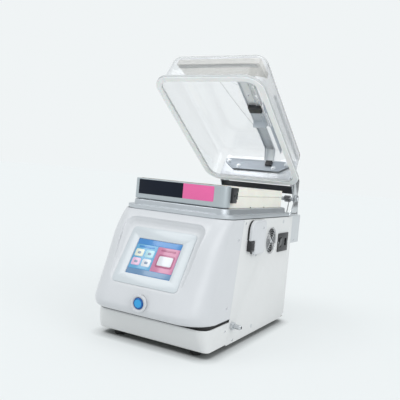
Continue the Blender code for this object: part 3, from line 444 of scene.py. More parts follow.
def plate(outlines, thickness, matrix, edge=0.0003):
    """A flat outline with holes, with broken edges, extruded about its own plane."""
    loops = [[(x, y, 0) for x, y in points] for points in outlines]
    return as_mesh(loops, True, matrix, 25, dimensions="2D", fill_mode="BOTH", extrude=thickness / 2 - edge,
                   bevel_depth=edge, bevel_resolution=1, offset=-edge)


def upright(outlines, x, thickness, edge=0.0003):
    """A plate in the YZ plane, its outlines given as (Y, Z)."""
    return plate(outlines, thickness, Matrix.Translation((x, 0, 0)) @ AXES["X"], edge)


def facing(outlines, y, thickness, edge=0.0003):
    """A plate in the XZ plane, its outlines given as (X, Z)."""
    return plate(outlines, thickness, Matrix.Translation((0, y, 0)) @ AXES["-Y"], edge)


def tube(points, radius, resolution=4, cyclic=False):
    """A round wire, hose or lead along points."""
    return as_mesh([points], cyclic, dimensions="3D", bevel_depth=radius, bevel_resolution=resolution,
                   use_fill_caps=not cyclic)


def combined(data, tools, operation="DIFFERENCE", sharp=SHARP):
    """Mesh data cut with other meshes, or joined to them into one skin."""
    made = placed("combine_work", data)
    cutters = [placed("combine_tool", tool) for tool in tools]
    for cutter in cutters:
        modifier = made.modifiers.new("combine", "BOOLEAN")
        modifier.operation, modifier.solver, modifier.object = operation, "EXACT", cutter
    result = evaluated(made)
    for cutter in cutters:
        bpy.data.objects.remove(cutter)
    return smoothed(result, sharp)


def gathered(meshes, sharp=SHARP):
    """Several closed meshes as one piece."""
    bm = bmesh.new()
    for data in meshes:
        bm.from_mesh(data)
    data = bpy.data.meshes.new("gathered")
    bm.to_mesh(data)
    bm.free()
    return smoothed(data, sharp)


def copies(master, places, axis="Z"):
    """Copies of a mesh that stands on Z, set on places along an axis."""
    meshes = []
    for place in places:
        copy = master.copy()
        copy.transform(Matrix.Translation(place) @ AXES[axis])
        meshes.append(copy)
    return gathered(meshes)


def walled(data, thickness, even=True):
    """An open skin given its wall, to the inside."""
    made = placed("wall_work", data)
    modifier = made.modifiers.new("wall", "SOLIDIFY")
    modifier.thickness, modifier.offset, modifier.use_even_offset = thickness, -1, even
    return smoothed(evaluated(made))


def smooth_path(points, steps):
    """A smooth curve through points of any dimension (Catmull-Rom)."""
    padded = [points[0], *points, points[-1]]
    smooth = []
    for a, b, c, d in zip(padded, padded[1:], padded[2:], padded[3:]):
        for step in range(steps):
            t = step / steps
            smooth.append(tuple(
                0.5 * (2 * q + (r - p) * t + (2 * p - 5 * q + 4 * r - s) * t * t
                       + (3 * q - p - 3 * r + s) * t ** 3)
                for p, q, r, s in zip(a, b, c, d)))
    smooth.append(tuple(points[-1]))
    return smooth


def arc(centre, radius, first, last, steps=12):
    """Points of an arc, with angles in degrees."""
    turns = [math.radians(first + (last - first) * i / steps) for i in range(steps + 1)]
    return [(centre[0] + radius * math.cos(t), centre[1] + radius * math.sin(t)) for t in turns]


def piece(name, data, look, body="base", nodes=()):
    """One visible piece, placed in the frame, on its body, standing for its CAD nodes."""
    data.name = name
    data.transform(PLACE.get(body, BASE))
    data.materials.clear()
    data.materials.append(MATERIALS[look])
    made = placed(name, data)
    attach(made, body)
    if nodes:
        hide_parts(*nodes)
    return made


# ---- fasteners ------------------------------------------------------------
def dome(radius, foot, rise, steps=6):
    """Profile of a dome of a radius and a rise, from its top down to its foot."""
    turns = [math.pi / 2 * step / steps for step in range(steps + 1)]
    return [(radius * math.sin(turn), foot + rise * math.cos(turn)) for turn in turns]


def pan_screw(radius):
    """Domed screw head with a cross recess."""
    head = lathe([*dome(radius, radius * 0.12, radius * 0.5), (radius, 0.0), (0.0, 0.0)], sides=32)
    arm, slot, depth = radius * 0.62, radius * 0.14, radius * 0.3
    return combined(head, [block((-arm, -slot, depth), (arm, slot, radius), 0),
                           block((-slot, -arm, depth), (slot, arm, radius), 0)])


def screws(name, radius, places, axis="Z", body="base"):
    """One piece of pan screws, their heads along an axis."""
    piece(name, copies(pan_screw(radius), places, axis), "stainless", body)


def hex_bolt(radius):
    """Hexagon head with a chamfered top, on a washer."""
    washer = [(1.35, 0.18), (1.40, 0.12), (1.40, 0.0), (0.0, 0.0), (0.0, 0.18), (1.35, 0.18)]
    head = [[(r * x, r * y, z * radius) for x, y in circle(radius, count=6)]
            for r, z in ((0.97, 0.18), (1.0, 0.24), (1.0, 0.78), (0.90, 0.90), (0.62, 0.92))]
    return gathered([lathe([(radius * r, radius * z) for r, z in washer], sides=32), loft(head)])


def dome_nut(radius):
    """Cap nut: a hexagon under a dome."""
    rings = [[(x, y, z * radius) for x, y in circle(radius, count=6)] for z in (0.0, 0.6)]
    cap = [*dome(radius * 0.8, radius * 0.6, radius * 0.75), (0.0, radius * 0.55)]
    return gathered([loft(rings), lathe(cap, sides=32)])


# ---- covers and panels ----------------------------------------------------
def seam_y(z):
    """Y of the slanted seam between the front covers and the side panels."""
    share = (z - FOOT_HEIGHT) / (BODY_TOP - FOOT_HEIGHT)
    return SEAM_BOTTOM_Y + share * (SEAM_TOP_Y - SEAM_BOTTOM_Y)


def wrap(front, z, corner, steps=20):
    """Plan outline of a cover, from the right seam round the front to the left seam."""
    right = [(HALF, seam_y(z) - GAP), (HALF, (seam_y(z) + front + corner) / 2)]
    right += arc((HALF - corner, front + corner), corner, 0, -90, steps)
    left = [(-x, y) for x, y in reversed(right)]
    return [(x, y, z) for x, y in right + left]


def panel_point(across, down, out=0.0):
    """A place on the display panel's plane: across, down the slope and out of it."""
    y = PANEL_TOP[0] - down * math.cos(PANEL_LEAN) - out * math.sin(PANEL_LEAN)
    z = PANEL_TOP[1] - down * math.sin(PANEL_LEAN) + out * math.cos(PANEL_LEAN)
    return (across, y, z)


def recess_outline(grow, steps=14):
    """Outline of the display recess on the panel's plane, narrowing to its bottom."""
    points = []
    for x, down in rounded((-RECESS_HALF - grow, RECESS_FROM - grow),
                           (RECESS_HALF + grow, RECESS_TO + grow), RECESS_CORNER + grow, steps):
        share = (down - RECESS_FROM) / (RECESS_TO - RECESS_FROM)
        points.append((x * (1 - RECESS_NARROWING * share), down))
    return points


# Levels of the two covers from the top down: the front's Y, the height and the plan's corner radius.
PROFILE = [(0.0015, BODY_TOP - GAP, 0.046), (-0.020, 0.338, 0.050), (-0.054, 0.290, 0.058),
           (-0.088, 0.216, 0.070), (-0.117, 0.158, 0.078), (NOSE_Y + 0.0022, 0.124, 0.080),
           (NOSE_Y + 0.0022, 0.109, 0.080), (NOSE_Y + 0.012, 0.0965, 0.076),
           (NOSE_Y + 0.036, 0.0905, 0.060), (-0.052, COVER_SPLIT_Z + 0.001, 0.030)]
LOWER_PROFILE = [(-0.0725, COVER_SPLIT_Z - 0.0080, 0.032), (-0.0745, COVER_SPLIT_Z - 0.0095, 0.034),
                 (-0.0750, 0.0720, 0.034), (-0.0680, 0.048, 0.026), (-0.0580, 0.0245, 0.019),
                 (-0.0545, FOOT_HEIGHT + 0.0055, 0.016)]
FILLET = 0.0075
BUTTON_BORE = 0.0195
# A dark band set in behind the gap between the covers stands for the shade in that gap: painted shade.
GAP_SHADE_Y, GAP_SHADE_CORNER, GAP_SHADE_SET_IN = -0.067, 0.028, 0.0045
GAP_SHADE_BOTTOM, GAP_SHADE_TOP = 0.0700, COVER_SPLIT_Z + 0.0015


def cover_skin(levels, steps):
    """Open skin of a cover through its levels."""
    rings = [wrap(front, z, corner) for front, z, corner in smooth_path(levels, steps)]
    return loft(rings, False, False, False)


def front_cover():
    """White front cover with the hole for its button, and its soft-edged recess."""
    skin = cover_skin(PROFILE, 7)
    bm = bmesh.new()
    bm.from_mesh(skin)
    tree = BVHTree.FromBMesh(bm)
    bm.free()
    inner = recess_outline(FILLET * 0.6)
    cutter = loft([[panel_point(x, d, out) for x, d in inner] for out in (-0.02, 0.04)])
    hole = rod(BUTTON_BORE, NOSE_Y - 0.01, NOSE_Y + 0.03, (BUTTON_X, BUTTON_Z), "Y")
    shell = combined(walled(skin, WALL), [cutter, hole])
    piece("front_cover_shell", shell, "white_moulding", nodes=["front_cover"])
    piece("recess_rim", recess_tub(tree), "white_moulding", nodes=["display_bezel"])


def lower_cover():
    """Shallow lower cover, and a dark band set in behind the gap between the covers as painted shade in that gap.
    """
    lower = walled(cover_skin(LOWER_PROFILE, 4), WALL, False)
    piece("lower_cover_shell", lower, "white_powder_coat", nodes=["lower_front_cover"])
    # The dark band is painted shade: it darkens the gap between the covers where shade falls.
    narrowing = (HALF - GAP_SHADE_SET_IN) / HALF
    rings = [[(x * narrowing, y, z) for x, y, z in wrap(GAP_SHADE_Y, height, GAP_SHADE_CORNER)]
             for height in (GAP_SHADE_BOTTOM, GAP_SHADE_TOP)]
    piece("cover_gap_shade", walled(loft(rings, False, False, False), 0.0015), "rubber")


def recess_tub(tree):
    """The recess as one moulding: a fillet off the cover's surface, sloping walls and a floor."""
    normal = Vector(panel_point(0, 0, 1)) - Vector(panel_point(0, 0))
    above, reach, floor, lowest = 0.08, 0.12, 0.0004, 0.0015

    def surface_height(x, down, otherwise=lowest):
        """Height of the front cover's surface over the panel's plane."""
        distance = tree.ray_cast(Vector(panel_point(x, down, above)), -normal, reach)[3]
        return above - distance if distance is not None else otherwise

    def fillet_drop(height):
        """Depth of the fillet where the cover's surface is at a height."""
        return min(FILLET, max(height - 0.0008, 0.0))

    margin = 0.002
    shoulder = rounded((-PANEL_HALF - margin, -0.004), (PANEL_HALF + margin, PANEL_LENGTH + margin),
                       0.016, 14)
    edge = recess_outline(0)
    heights = [surface_height(x, d) for x, d in edge]
    rings = [[panel_point(x, d, -0.0035) for x, d in recess_outline(-0.012)],
             [panel_point(x, d, surface_height(x, d) - 0.0045) for x, d in recess_outline(-0.002)],
             [panel_point(x, d, surface_height(x, d) - 0.0012) for x, d in recess_outline(FILLET)]]
    for step in range(9):
        turn = math.pi / 2 * step / 8
        grown = recess_outline(FILLET * (1 - math.sin(turn)))
        rings.append([panel_point(x, d, surface_height(x, d, height) + 0.00006
                                  - fillet_drop(height) * (1 - math.cos(turn)))
                      for (x, d), height in zip(grown, heights)])
    for step in range(1, 11):
        share = step / 10
        ease = 1 - (1 - share) ** 1.6
        ring = []
        for (x, d), (to_x, to_d), height in zip(edge, shoulder, heights):
            low = max(height - fillet_drop(height), floor)
            ring.append(panel_point(x + (to_x - x) * share, d + (to_d - d) * share,
                                    low + (floor - low) * ease))
        rings.append(ring)
    return loft(rings, True, True, sharp=50)


def panel_window(grow, low, high, radius, steps):
    """A rounded outline on the panel, grown all round."""
    return rounded((low[0] - grow, low[1] - grow), (high[0] + grow, high[1] + grow), radius, steps)


def display():
    """Plate round the screen, the seam round the plate, and the generic picture on the screen."""
    window = panel_window(0.0006, (-SCREEN_HALF, SCREEN_FROM), (SCREEN_HALF, SCREEN_TO), 0.0022, 6)
    outline = rounded((-PANEL_HALF, 0.001), (PANEL_HALF, PANEL_LENGTH), 0.011, 10)
    piece("display_plate", plate([outline, window], 0.0022, on_panel(0.0013), 0.0005), "panel_plate")
    seam = panel_window(0.0007, (-PANEL_HALF, 0.001), (PANEL_HALF, PANEL_LENGTH), 0.0117, 10)
    piece("plate_seam", plate([seam, window], 0.0006, on_panel(0.0007), 0.0001), "grey_powder_coat")
    back = -0.0005
    for name, low, high, radius, look, out in screen_fields():
        field = rounded((low[0], -high[1]), (high[0], -low[1]), radius, 6)
        data = plate([field], out - back, on_panel((out + back) / 2, False), 0.00008)
        nodes = ["touch_screen"] if name == "backing" else ()
        piece("screen_" + name, data, "screen_" + look, nodes=nodes)


def screen_fields():
    """The picture's fields: name, two corners (across, down), corner radius, look and height."""
    width, top, bottom, rim = SCREEN_HALF, SCREEN_FROM, SCREEN_TO, 0.001
    header, footer, split = top + 0.016, bottom - 0.016, 0.0008
    flat, raised, mark, face = 0.0009, 0.0012, 0.0014, 0.0015
    fields = [
        ("backing", (-width, top), (width, bottom), 0.002, "deep_blue", 0.0006),
        ("header", (-width + rim, top + rim), (width - rim, header), 0.001, "header_blue", flat),
        ("left_field", (-width + rim, header + rim), (-split, footer), 0.002, "sky", flat),
        ("right_field", (split, header + rim), (width - rim, footer), 0.002, "rose", flat),
        ("footer", (-width + rim, footer + rim), (width - rim, bottom - rim), 0.001, "footer", flat),
        ("start_frame", (0.010, header + 0.021), (width - 0.008, footer - 0.014), 0.005, "dark_rose",
         raised),
        ("start_face", (0.014, header + 0.026), (width - 0.012, footer - 0.019), 0.004, "white", face),
        ("bar_left", (-width + 0.010, header + 0.005), (-0.010, header + 0.010), 0.001, "header_blue",
         raised),
        ("bar_right", (0.012, header + 0.007), (width - 0.012, header + 0.012), 0.001, "dark_rose", raised),
    ]
    tile_width, tile_height, next_column, next_row = 0.0265, 0.0215, 0.0325, 0.0265
    for index, look in enumerate(("cream", "cyan", "pink", "white")):
        left = -width + 0.005 + next_column * (index % 2)
        upper = header + 0.015 + next_row * (index // 2)
        fields.append(("tile_%d" % index, (left, upper), (left + tile_width, upper + tile_height), 0.004,
                       look, raised))
        fields.append(("mark_%d" % index, (left + 0.0080, upper + 0.0070), (left + 0.0185, upper + 0.0145),
                       0.003, "icon", mark))
    return fields


def on_panel(out, downward=True):
    """Puts a flat outline on the leaning panel, so far out of it; its second value runs down or up."""
    start = Vector(panel_point(0, 0))
    down, normal = Vector(panel_point(0, 1)) - start, Vector(panel_point(0, 0, 1)) - start
    turn = Matrix(((1, 0, 0), down if downward else -down, normal)).transposed().to_4x4()
    return Matrix.Translation(start) @ turn @ Matrix.Translation((0, 0, out))


def start_button():
    """Dished white ring with a two-tone blue push button."""
    place, sides = (BUTTON_X, NOSE_Y - 0.0008, BUTTON_Z), 96
    inner, foot, dish_width, dish_height = 0.0155, 0.0016, 0.0045, 0.0028
    ring = [(inner, foot)]
    ring += [(inner + dish_width * s / 6, foot + dish_height * (s / 6) ** 0.7) for s in range(1, 7)]
    ring += [(0.0220, 0.0042), (0.0232, 0.0036), (0.0235, 0.0026), (0.0235, 0.0), (0.0190, 0.0),
             (0.0190, -0.012), (inner, -0.012), (inner, foot)]
    collar = [(0.0112, 0.0046), (0.0118, 0.0050), (0.0132, 0.0042), (0.0146, 0.0026), (0.0148, 0.0010),
              (0.0148, -0.010), (0.0112, -0.010), (0.0112, 0.0046)]
    lens = [(0.0, 0.0056), (0.0050, 0.0055), (0.0090, 0.0051), (0.0108, 0.0044), (0.0110, 0.0036),
            (0.0110, -0.009), (0.0, -0.009)]
    for name, profile, look, body, nodes in (
            ("button_bezel", ring, "white_moulding", "base", ["button_ring"]),
            ("button_collar", collar, "button_dark_blue", "button", ["start_button"]),
            ("button_lens", lens, "button_light_blue", "button", ())):
        piece(name, lathe(profile, place, "-Y", sides), look, body, nodes)


PANEL_SCREW, REAR_BOTTOM = 0.0032, FOOT_HEIGHT + 0.013
FAN_HOLE, INLET_HOLE = 0.038, (0.041, 0.026)
LOUVRE_FIRST, LOUVRE_PITCH, LOUVRE_X, LOUVRE_HALF = 0.080, 0.013, 0.075, 0.045
SIDE_SCREWS = ((0.112, 0.348), (0.071, 0.304), (0.035, 0.122), (0.039, 0.059), (0.092, 0.024))
SIDE_PLUGS = ((0.413, 0.344), (0.221, 0.038))


def side_panels():
    """Sheet side panels with their screws and plugs."""
    bottom = FOOT_HEIGHT + 0.0015
    outline = [(seam_y(BODY_TOP) + GAP, BODY_TOP - GAP), (BODY_DEPTH, BODY_TOP - GAP),
               (BODY_DEPTH, REAR_BOTTOM), (BODY_DEPTH - 0.038, bottom), (seam_y(FOOT_HEIGHT) + GAP, bottom)]
    corners = [(INLET[0] + sign * INLET_HOLE[0], INLET[1] + sign * INLET_HOLE[1]) for sign in (-1, 1)]
    inlet_hole = rounded(*corners, 0.002, 3)
    plug = lathe([(0.0, 0.0012), (0.0042, 0.0011), (0.0055, 0.0007), (0.0058, 0.0), (0.0, 0.0)], sides=48)
    right_holes = [circle(FAN_HOLE, FAN), inlet_hole]
    for side, sign, axis, holes in (("left", -1, "-X", []), ("right", 1, "X", right_holes)):
        data = upright([outline, *holes], sign * (HALF - SHEET / 2), SHEET)
        piece("side_sheet_" + side, data, "white_powder_coat", nodes=["side_panel_" + side])
        screws("side_screws_" + side, PANEL_SCREW, [(sign * HALF, y, z) for y, z in SIDE_SCREWS], axis)
        plugs = copies(plug, [(sign * HALF, y, z) for y, z in SIDE_PLUGS], axis)
        piece("side_plugs_" + side, plugs, "grey_powder_coat")


def rear_side():
    """Rear panel with louvres, and the hinge box behind it."""
    half = HALF - SHEET - GAP
    sheet = block((-half, BODY_DEPTH - SHEET, REAR_BOTTOM), (half, BODY_DEPTH, BODY_TOP - GAP), 0.0003, 2)
    louvres = []
    for z in (LOUVRE_FIRST + LOUVRE_PITCH * row for row in range(8)):
        for x in (-LOUVRE_X, LOUVRE_X):
            slot = rounded((x - LOUVRE_HALF, z - 0.002), (x + LOUVRE_HALF, z + 0.002), 0.0019, 6)
            louvres.append(facing([slot], BODY_DEPTH, 0.01, 0.0001))
    piece("rear_sheet", combined(sheet, [gathered(louvres)]), "grey_powder_coat", nodes=["rear_panel"])
    places = [(-0.160, 0.040), (-0.160, 0.190), (0.160, 0.040), (0.160, 0.190), (0, 0.040)]
    screws("rear_screws", PANEL_SCREW, [(x, BODY_DEPTH, z) for x, z in places], "Y")
    low, high = node_box("rear_hinge_box")
    wall = Vector((SHEET, SHEET, SHEET))
    hollow = block((low.x + SHEET, low.y - 0.05, low.z + SHEET), high - wall, 0)
    shell = combined(block(low, high, 0.003, 4), [hollow])
    piece("hinge_box_shell", shell, "grey_powder_coat", nodes=["rear_hinge_box"])
    for side, sign, axis in (("right", 1, "X"), ("left", -1, "-X")):
        places = [(sign * high.x, y, low.z + 0.010) for y in (0.520, 0.604)]
        screws("hinge_box_screws_" + side, PANEL_SCREW, places, axis)


def feet():
    """Rubber feet with a groove and a screw seat."""
    for name in ("front_left", "front_right", "rear_left", "rear_right"):
        low, high = node_box("foot_" + name)
        radius, top = (high.x - low.x) / 2, high.z
        profile = [(0.0, top), (radius - 0.0006, top), (radius, top - 0.0006), (radius, 0.0095),
                   (radius - 0.0008, 0.0088), (radius - 0.0008, 0.0080), (radius, 0.0073),
                   (radius - 0.0006, 0.0040), (radius - 0.0018, 0.0008), (radius - 0.0026, 0.0),
                   (0.0045, 0.0), (0.0040, 0.0020), (0.0, 0.0020)]
        pad = lathe(profile, ((low.x + high.x) / 2, (low.y + high.y) / 2, 0))
        piece("foot_pad_" + name, pad, "rubber", nodes=["foot_" + name])


# ---- right side fittings --------------------------------------------------
FACE = HALF + GAP
GUARD_RADII, SPOKE, HUB_CAP = (0.0125, 0.0195, 0.0265, 0.0335, 0.0405), (0.006, 0.0405), 0.0066
FAN_BORE, WINDOW_OUTER, WINDOW_INNER, WINDOW_GAP = 0.0375, 0.0360, 0.0155, 7


def fan():
    """Wire guard, square frame and a rotor with twisted blades."""
    out = FACE + 0.0010
    wires = [tube([(out, y, z) for y, z in circle(radius, FAN, 72)], 0.00075, 3, True)
             for radius in GUARD_RADII]
    for number in range(4):
        turn = math.pi / 2 * number + math.pi / 4
        ends = [(out, FAN[0] + r * math.cos(turn), FAN[1] + r * math.sin(turn)) for r in SPOKE]
        wires.append(tube(ends, 0.0009, 3))
    cap = [(0.0, 0.0016), (0.0058, 0.0014), (HUB_CAP, 0.0008), (HUB_CAP, 0.0), (0.0, 0.0)]
    wires.append(lathe(cap, (FACE, *FAN), "X", 48))
    piece("fan_guard_wires", gathered(wires), "wire", nodes=["fan_guard"])
    low, high = node_box("fan_frame")
    cutters = [rod(FAN_BORE, high.x - 0.022, high.x + 0.01, FAN, "X", 64)]
    for first in (90 * number + WINDOW_GAP for number in range(4)):
        last = first + 90 - 2 * WINDOW_GAP
        outline = arc(FAN, WINDOW_OUTER, first, last) + arc(FAN, WINDOW_INNER, first, last)[::-1]
        cutters.append(loft([[(x, y, z) for y, z in outline] for x in (low.x - 0.005, low.x + 0.006)]))
    piece("fan_housing", combined(block(low, high, 0.003, 3), cutters), "black_moulding",
          nodes=["fan_frame"])
    low, high = node_box("fan_rotor")
    piece("fan_wheel", gathered(fan_wheel(low.x, high.x)), "black_gloss", "fan", ["fan_rotor"])


def fan_wheel(back, front, blades=7, hub=0.0145, tip=0.0352):
    """Hub and thin twisted blades of a fan rotor."""
    depth = front - back
    shapes = [lathe([(0.0, depth), (hub - 0.002, depth), (hub, depth - 0.002), (hub, 0.0), (0.0, 0.0)],
                    (back, *FAN), "X", 64)]
    pitch = 2 * math.pi / blades
    for blade in range(blades):
        rings = []
        for step in range(7):
            share = step / 6
            radius = hub - 0.001 + (tip - hub + 0.001) * share
            sweep = 0.25 * share
            span = pitch * (0.62 - 0.08 * share)
            ring = []
            for side, turns in ((0.0005, range(9)), (-0.0005, reversed(range(9)))):
                for part in turns:
                    along = part / 8
                    angle = pitch * blade + sweep + span * along
                    x = back + 0.0015 + (depth - 0.003) * along + side
                    ring.append((x, FAN[0] + radius * math.cos(angle), FAN[1] + radius * math.sin(angle)))
            rings.append(ring)
        shapes.append(loft(rings))
    return shapes


def air_cowl():
    """White hood over the intake, standing on a dark spacer, with a black vent block in its corner."""
    low, high = (0.130, 0.257), (0.236, 0.3565)
    notch_y, notch_z = 0.158, 0.298

    def hood(inset, out):
        """Hood outline with its lower front corner left out for the vent block."""
        left, bottom = low[0] + inset, low[1] + inset
        right, top = high[0] - inset, high[1] - inset
        step_y, step_z = notch_y + inset, notch_z + inset
        corners = (((right - 0.010, top - 0.010), 0.010, 0, 90),
                   ((left + 0.030, top - 0.030), 0.030, 90, 180),
                   ((left + 0.004, step_z + 0.004), 0.004, 180, 270),
                   ((step_y - 0.003, step_z - 0.003), 0.003, 90, 0),
                   ((step_y + 0.008, bottom + 0.008), 0.008, 180, 270),
                   ((right - 0.010, bottom + 0.010), 0.010, 270, 360))
        return [(FACE + out, y, z) for corner in corners for y, z in arc(*corner)]

    levels = [(0.0, 0.0058), (0.0, 0.0085)]
    for turn in (math.radians(degrees) for degrees in range(10, 91, 10)):
        levels.append((0.006 * (1 - math.cos(turn)), 0.0085 + 0.0065 * math.sin(turn)))
    piece("cowl_hood", loft([hood(*level) for level in levels], sharp=50), "white_moulding",
          nodes=["air_cowl"])
    piece("cowl_spacer", loft([hood(0.0008, out) for out in (0.0, 0.0062)]), "rubber")
    vent = block((FACE, low[0] + 0.001, low[1] + 0.011),
                 (FACE + 0.0135, notch_y - 0.0006, notch_z - 0.0006), 0.002, 4)
    grooves = [block((FACE + 0.0115, low[0] - 0.01, z), (FACE + 0.02, notch_y + 0.01, z + 0.0014), 0)
               for z in (0.2745, 0.2790, 0.2835, 0.2880)]
    piece("cowl_vent_block", combined(vent, [gathered(grooves)]), "black_moulding")
    screws("cowl_screws", 0.0030, [(FACE + 0.0149, 0.208, 0.334), (FACE, 0.203, 0.2512)], "X")


def power_inlet():
    """Inlet plate with its socket, pins and rocker breaker."""
    y, z = INLET
    socket_y, rocker_y = 0.441, 0.395

    def box(middle, across, half_height, back, front, radius=0, segments=3):
        """A box about a Y on the inlet's middle line, from behind the panel's face to before it."""
        return block((FACE - back, middle - across, z - half_height),
                     (FACE + front, middle + across, z + half_height), radius, segments)

    shell = combined(box(y, 0.045, 0.030, 0.0, 0.0025, 0.0010),
                     [box(y, 0.0402, 0.0252, 0.030, 0.001, 0.0005, 2)], "UNION")
    wells = [box(socket_y, 0.0085, 0.012, 0.016, 0.02), box(rocker_y, 0.0105, 0.016, 0.014, 0.02)]
    piece("inlet_module", combined(shell, wells), "black_moulding", nodes=["power_inlet"])
    pins = [block((FACE - 0.0165, socket_y + dy - 0.0010, z + dz - 0.0025),
                  (FACE - 0.002, socket_y + dy + 0.0010, z + dz + 0.0025), 0.0004, 2)
            for dy, dz in ((-0.0045, -0.004), (0.0045, -0.004), (0.0, 0.005))]
    piece("inlet_pins", gathered(pins), "zinc")
    outline = [(-0.006, -0.0135), (0.0030, -0.0142), (0.0078, -0.0142), (0.0062, 0.0), (0.0030, 0.0142),
               (-0.006, 0.0135)]
    low, high = node_box("breaker_rocker")
    centre_x = (low.x + high.x) / 2
    rocker = [[(centre_x + out - 0.0009, edge, z - rise) for out, rise in outline]
              for edge in (low.y, low.y + 0.0006, high.y - 0.0006, high.y)]
    piece("rocker_cap", loft(rocker), "black_gloss", "rocker", ["breaker_rocker"])
    screws("inlet_screws", 0.0026, [(FACE + 0.0024, y + dy, z) for dy in (-0.0405, 0.0405)], "X")


def hose_barb():
    """Turned hose barb with a round collar."""
    low, high = node_box("hose_barb")
    reach = high.x - low.x
    centre = ((low.y + high.y) / 2, (low.z + high.z) / 2)
    profile = [(0.0040, reach), (0.0050, reach)]
    for step in range(3):
        top = reach - 0.0065 * step
        profile += [(0.0070, top - 0.0050), (0.0070, top - 0.0053), (0.0058, top - 0.0057)]
    profile += [(0.0058, 0.008), (0.0108, 0.008), (0.0110, 0.0076), (0.0110, 0.0004), (0.0106, 0.0),
                (0.0, 0.0), (0.0, 0.004), (0.0040, 0.004), (0.0040, reach)]
    piece("barb_fitting", lathe(profile, (low.x, *centre), "X", 48), "stainless", nodes=["hose_barb"])


# ---- chamber --------------------------------------------------------------
def ring_at(inset, z, low=(-TRAY_HALF, 0.0), high=(TRAY_HALF, TRAY_DEPTH), corner=TRAY_CORNER, steps=20):
    """Rounded rectangle at a height, inset from its outline."""
    outline = rounded((low[0] + inset, low[1] + inset), (high[0] - inset, high[1] - inset),
                      max(corner - inset, 0.004), steps)
    return [(x, y, z) for x, y in outline]


def quarter(inset, z, radius, steps=4, hollow=False):
    """Levels of a rounded edge from a wall onto the top, or of a hollow corner up a wall."""
    levels = []
    for step in range(steps + 1):
        turn = math.pi / 2 * step / steps
        if hollow:
            levels.append((inset + radius * math.sin(turn), z + radius * (1 - math.cos(turn))))
        else:
            levels.append((inset + radius * (1 - math.cos(turn)), z - radius * (1 - math.sin(turn))))
    return levels


def chamber_tray():
    """Cast tray with soft edges, a port with its strainer, and the piston holes."""
    step = TRAY_STEP
    levels = [(0.0015, BODY_TOP), (0.0, BODY_TOP + 0.0015), *quarter(0.0, FLANGE_TOP, 0.0014),
              *quarter(step - 0.0016, FLANGE_TOP, 0.0016, hollow=True), (step + 0.0012, TRAY_TOP - 0.0036),
              *quarter(step + 0.0014, TRAY_TOP, 0.0030)]
    tray = loft([ring_at(inset, z) for inset, z in levels], sharp=40)
    centres = (((-SEAL_CYLINDER_X, STRIP_Y), 0.0068), ((SEAL_CYLINDER_X, STRIP_Y), 0.0068), (PORT, 0.008),
               ((0.060, PORT[1]), 0.004))
    holes = [rod(radius, TRAY_TOP - 0.012, TRAY_TOP + 0.01, centre, "Z", 48, 0.0)
             for centre, radius in centres]
    piece("tray_casting", combined(tray, holes, sharp=40), "cast_aluminium_tray", nodes=["chamber_tray"])
    z = TRAY_TOP - 0.0006
    wires = [tube([(x, y, z) for x, y in circle(radius, PORT, 40)], 0.0005, 2, True)
             for radius in (0.0025, 0.005, 0.0075)]
    wires += [tube([(side * x, PORT[1] + side * y, z) for side in (-1, 1)], 0.0005, 2)
              for x, y in ((0.008, 0.0), (0.0, 0.008))]
    piece("port_strainer", gathered(wires), "wire")


def bar_outline(inset, z, steps=14):
    """Plan outline of the seal bar, with wide round corners in front and small ones behind."""
    low, high = (BAR_LOW.x + inset, BAR_LOW.y + inset), (BAR_HIGH.x - inset, BAR_HIGH.y - inset)
    rear, front = 0.003 - inset, 0.018 - inset
    return [(x, y, z) for x, y in rounded(low, high, (rear, rear, front, front), steps)]


LABEL_LOW, LABEL_HIGH = 0.4020, 0.4435
LABEL_SPLIT, LABEL_RIGHT = 0.0165, 0.1130
LABEL_OUT, LABEL_THICKNESS = 0.00025, 0.0006
TAPE_HALF, STRIP_HALF = (0.138, 0.0100), (0.134, 0.0025)


def seal_bar():
    """Seal bar with its plain two-colour label, heating strip, end clamps and lifting cylinders."""
    levels = [(0.002, BAR_LOW.z), (0.0, BAR_LOW.z + 0.002), *quarter(0.0, BAR_HIGH.z, 0.002)]
    bar = loft([bar_outline(inset, z) for inset, z in levels], sharp=40)
    piece("bar_body", bar, "anodised_bar", "seal_bar_unit", ["seal_bar"])
    for name, left, right, radii in (
            ("dark", BAR_LOW.x + 0.0185, LABEL_SPLIT, (0.0001, 0.0004, 0.0004, 0.0001)),
            ("pink", LABEL_SPLIT, LABEL_RIGHT, (0.003, 0.0001, 0.0001, 0.003))):
        outline = rounded((left, LABEL_LOW), (right, LABEL_HIGH), radii, 6)
        data = facing([outline], BAR_LOW.y - LABEL_OUT, LABEL_THICKNESS, 0.0001)
        piece("bar_label_" + name, data, "label_" + name, "seal_bar_unit")
    top = BAR_HIGH.z
    for name, look, (half_x, half_y), low, high, edge, segments in (
            ("bar_element", "nichrome_strip", STRIP_HALF, top + GAP, top + 0.0009, 0.0002, 2),
            ("bar_tape", "heating_tape", TAPE_HALF, top - 0.0002, top + 0.0002, 0.0001, 1)):
        data = block((-half_x, STRIP_Y - half_y, low), (half_x, STRIP_Y + half_y, high), edge, segments)
        piece(name, data, look, "seal_bar_unit", ["heating_strip"] if name == "bar_element" else ())
    heads = [(x, BAR_LOW.y + 0.006, top - 0.0006) for x in (-0.110, 0.0, 0.110)]
    screws("bar_screws", 0.0022, heads, body="seal_bar_unit")
    for side, sign in (("left", -1), ("right", 1)):
        end_clamp(side, sign)
        x = sign * SEAL_CYLINDER_X
        barrel = [(0.0066, BODY_TOP - GAP), (0.0136, BODY_TOP - GAP), (0.0140, BODY_TOP - 0.001),
                  (0.0140, 0.290), (0.0132, 0.284), (0.0, 0.284), (0.0, 0.292), (0.0066, 0.292),
                  (0.0066, BODY_TOP - GAP)]
        piece("cylinder_barrel_" + side, lathe(barrel, (x, STRIP_Y, 0)), "anodised_bar",
              nodes=["seal_cylinder_" + side])
        low, high = node_box("seal_piston_" + side)
        piece("piston_rod_" + side, rod(0.006, low.z, high.z, (x, STRIP_Y), "Z"), "stainless",
              "seal_bar_unit", ["seal_piston_" + side])


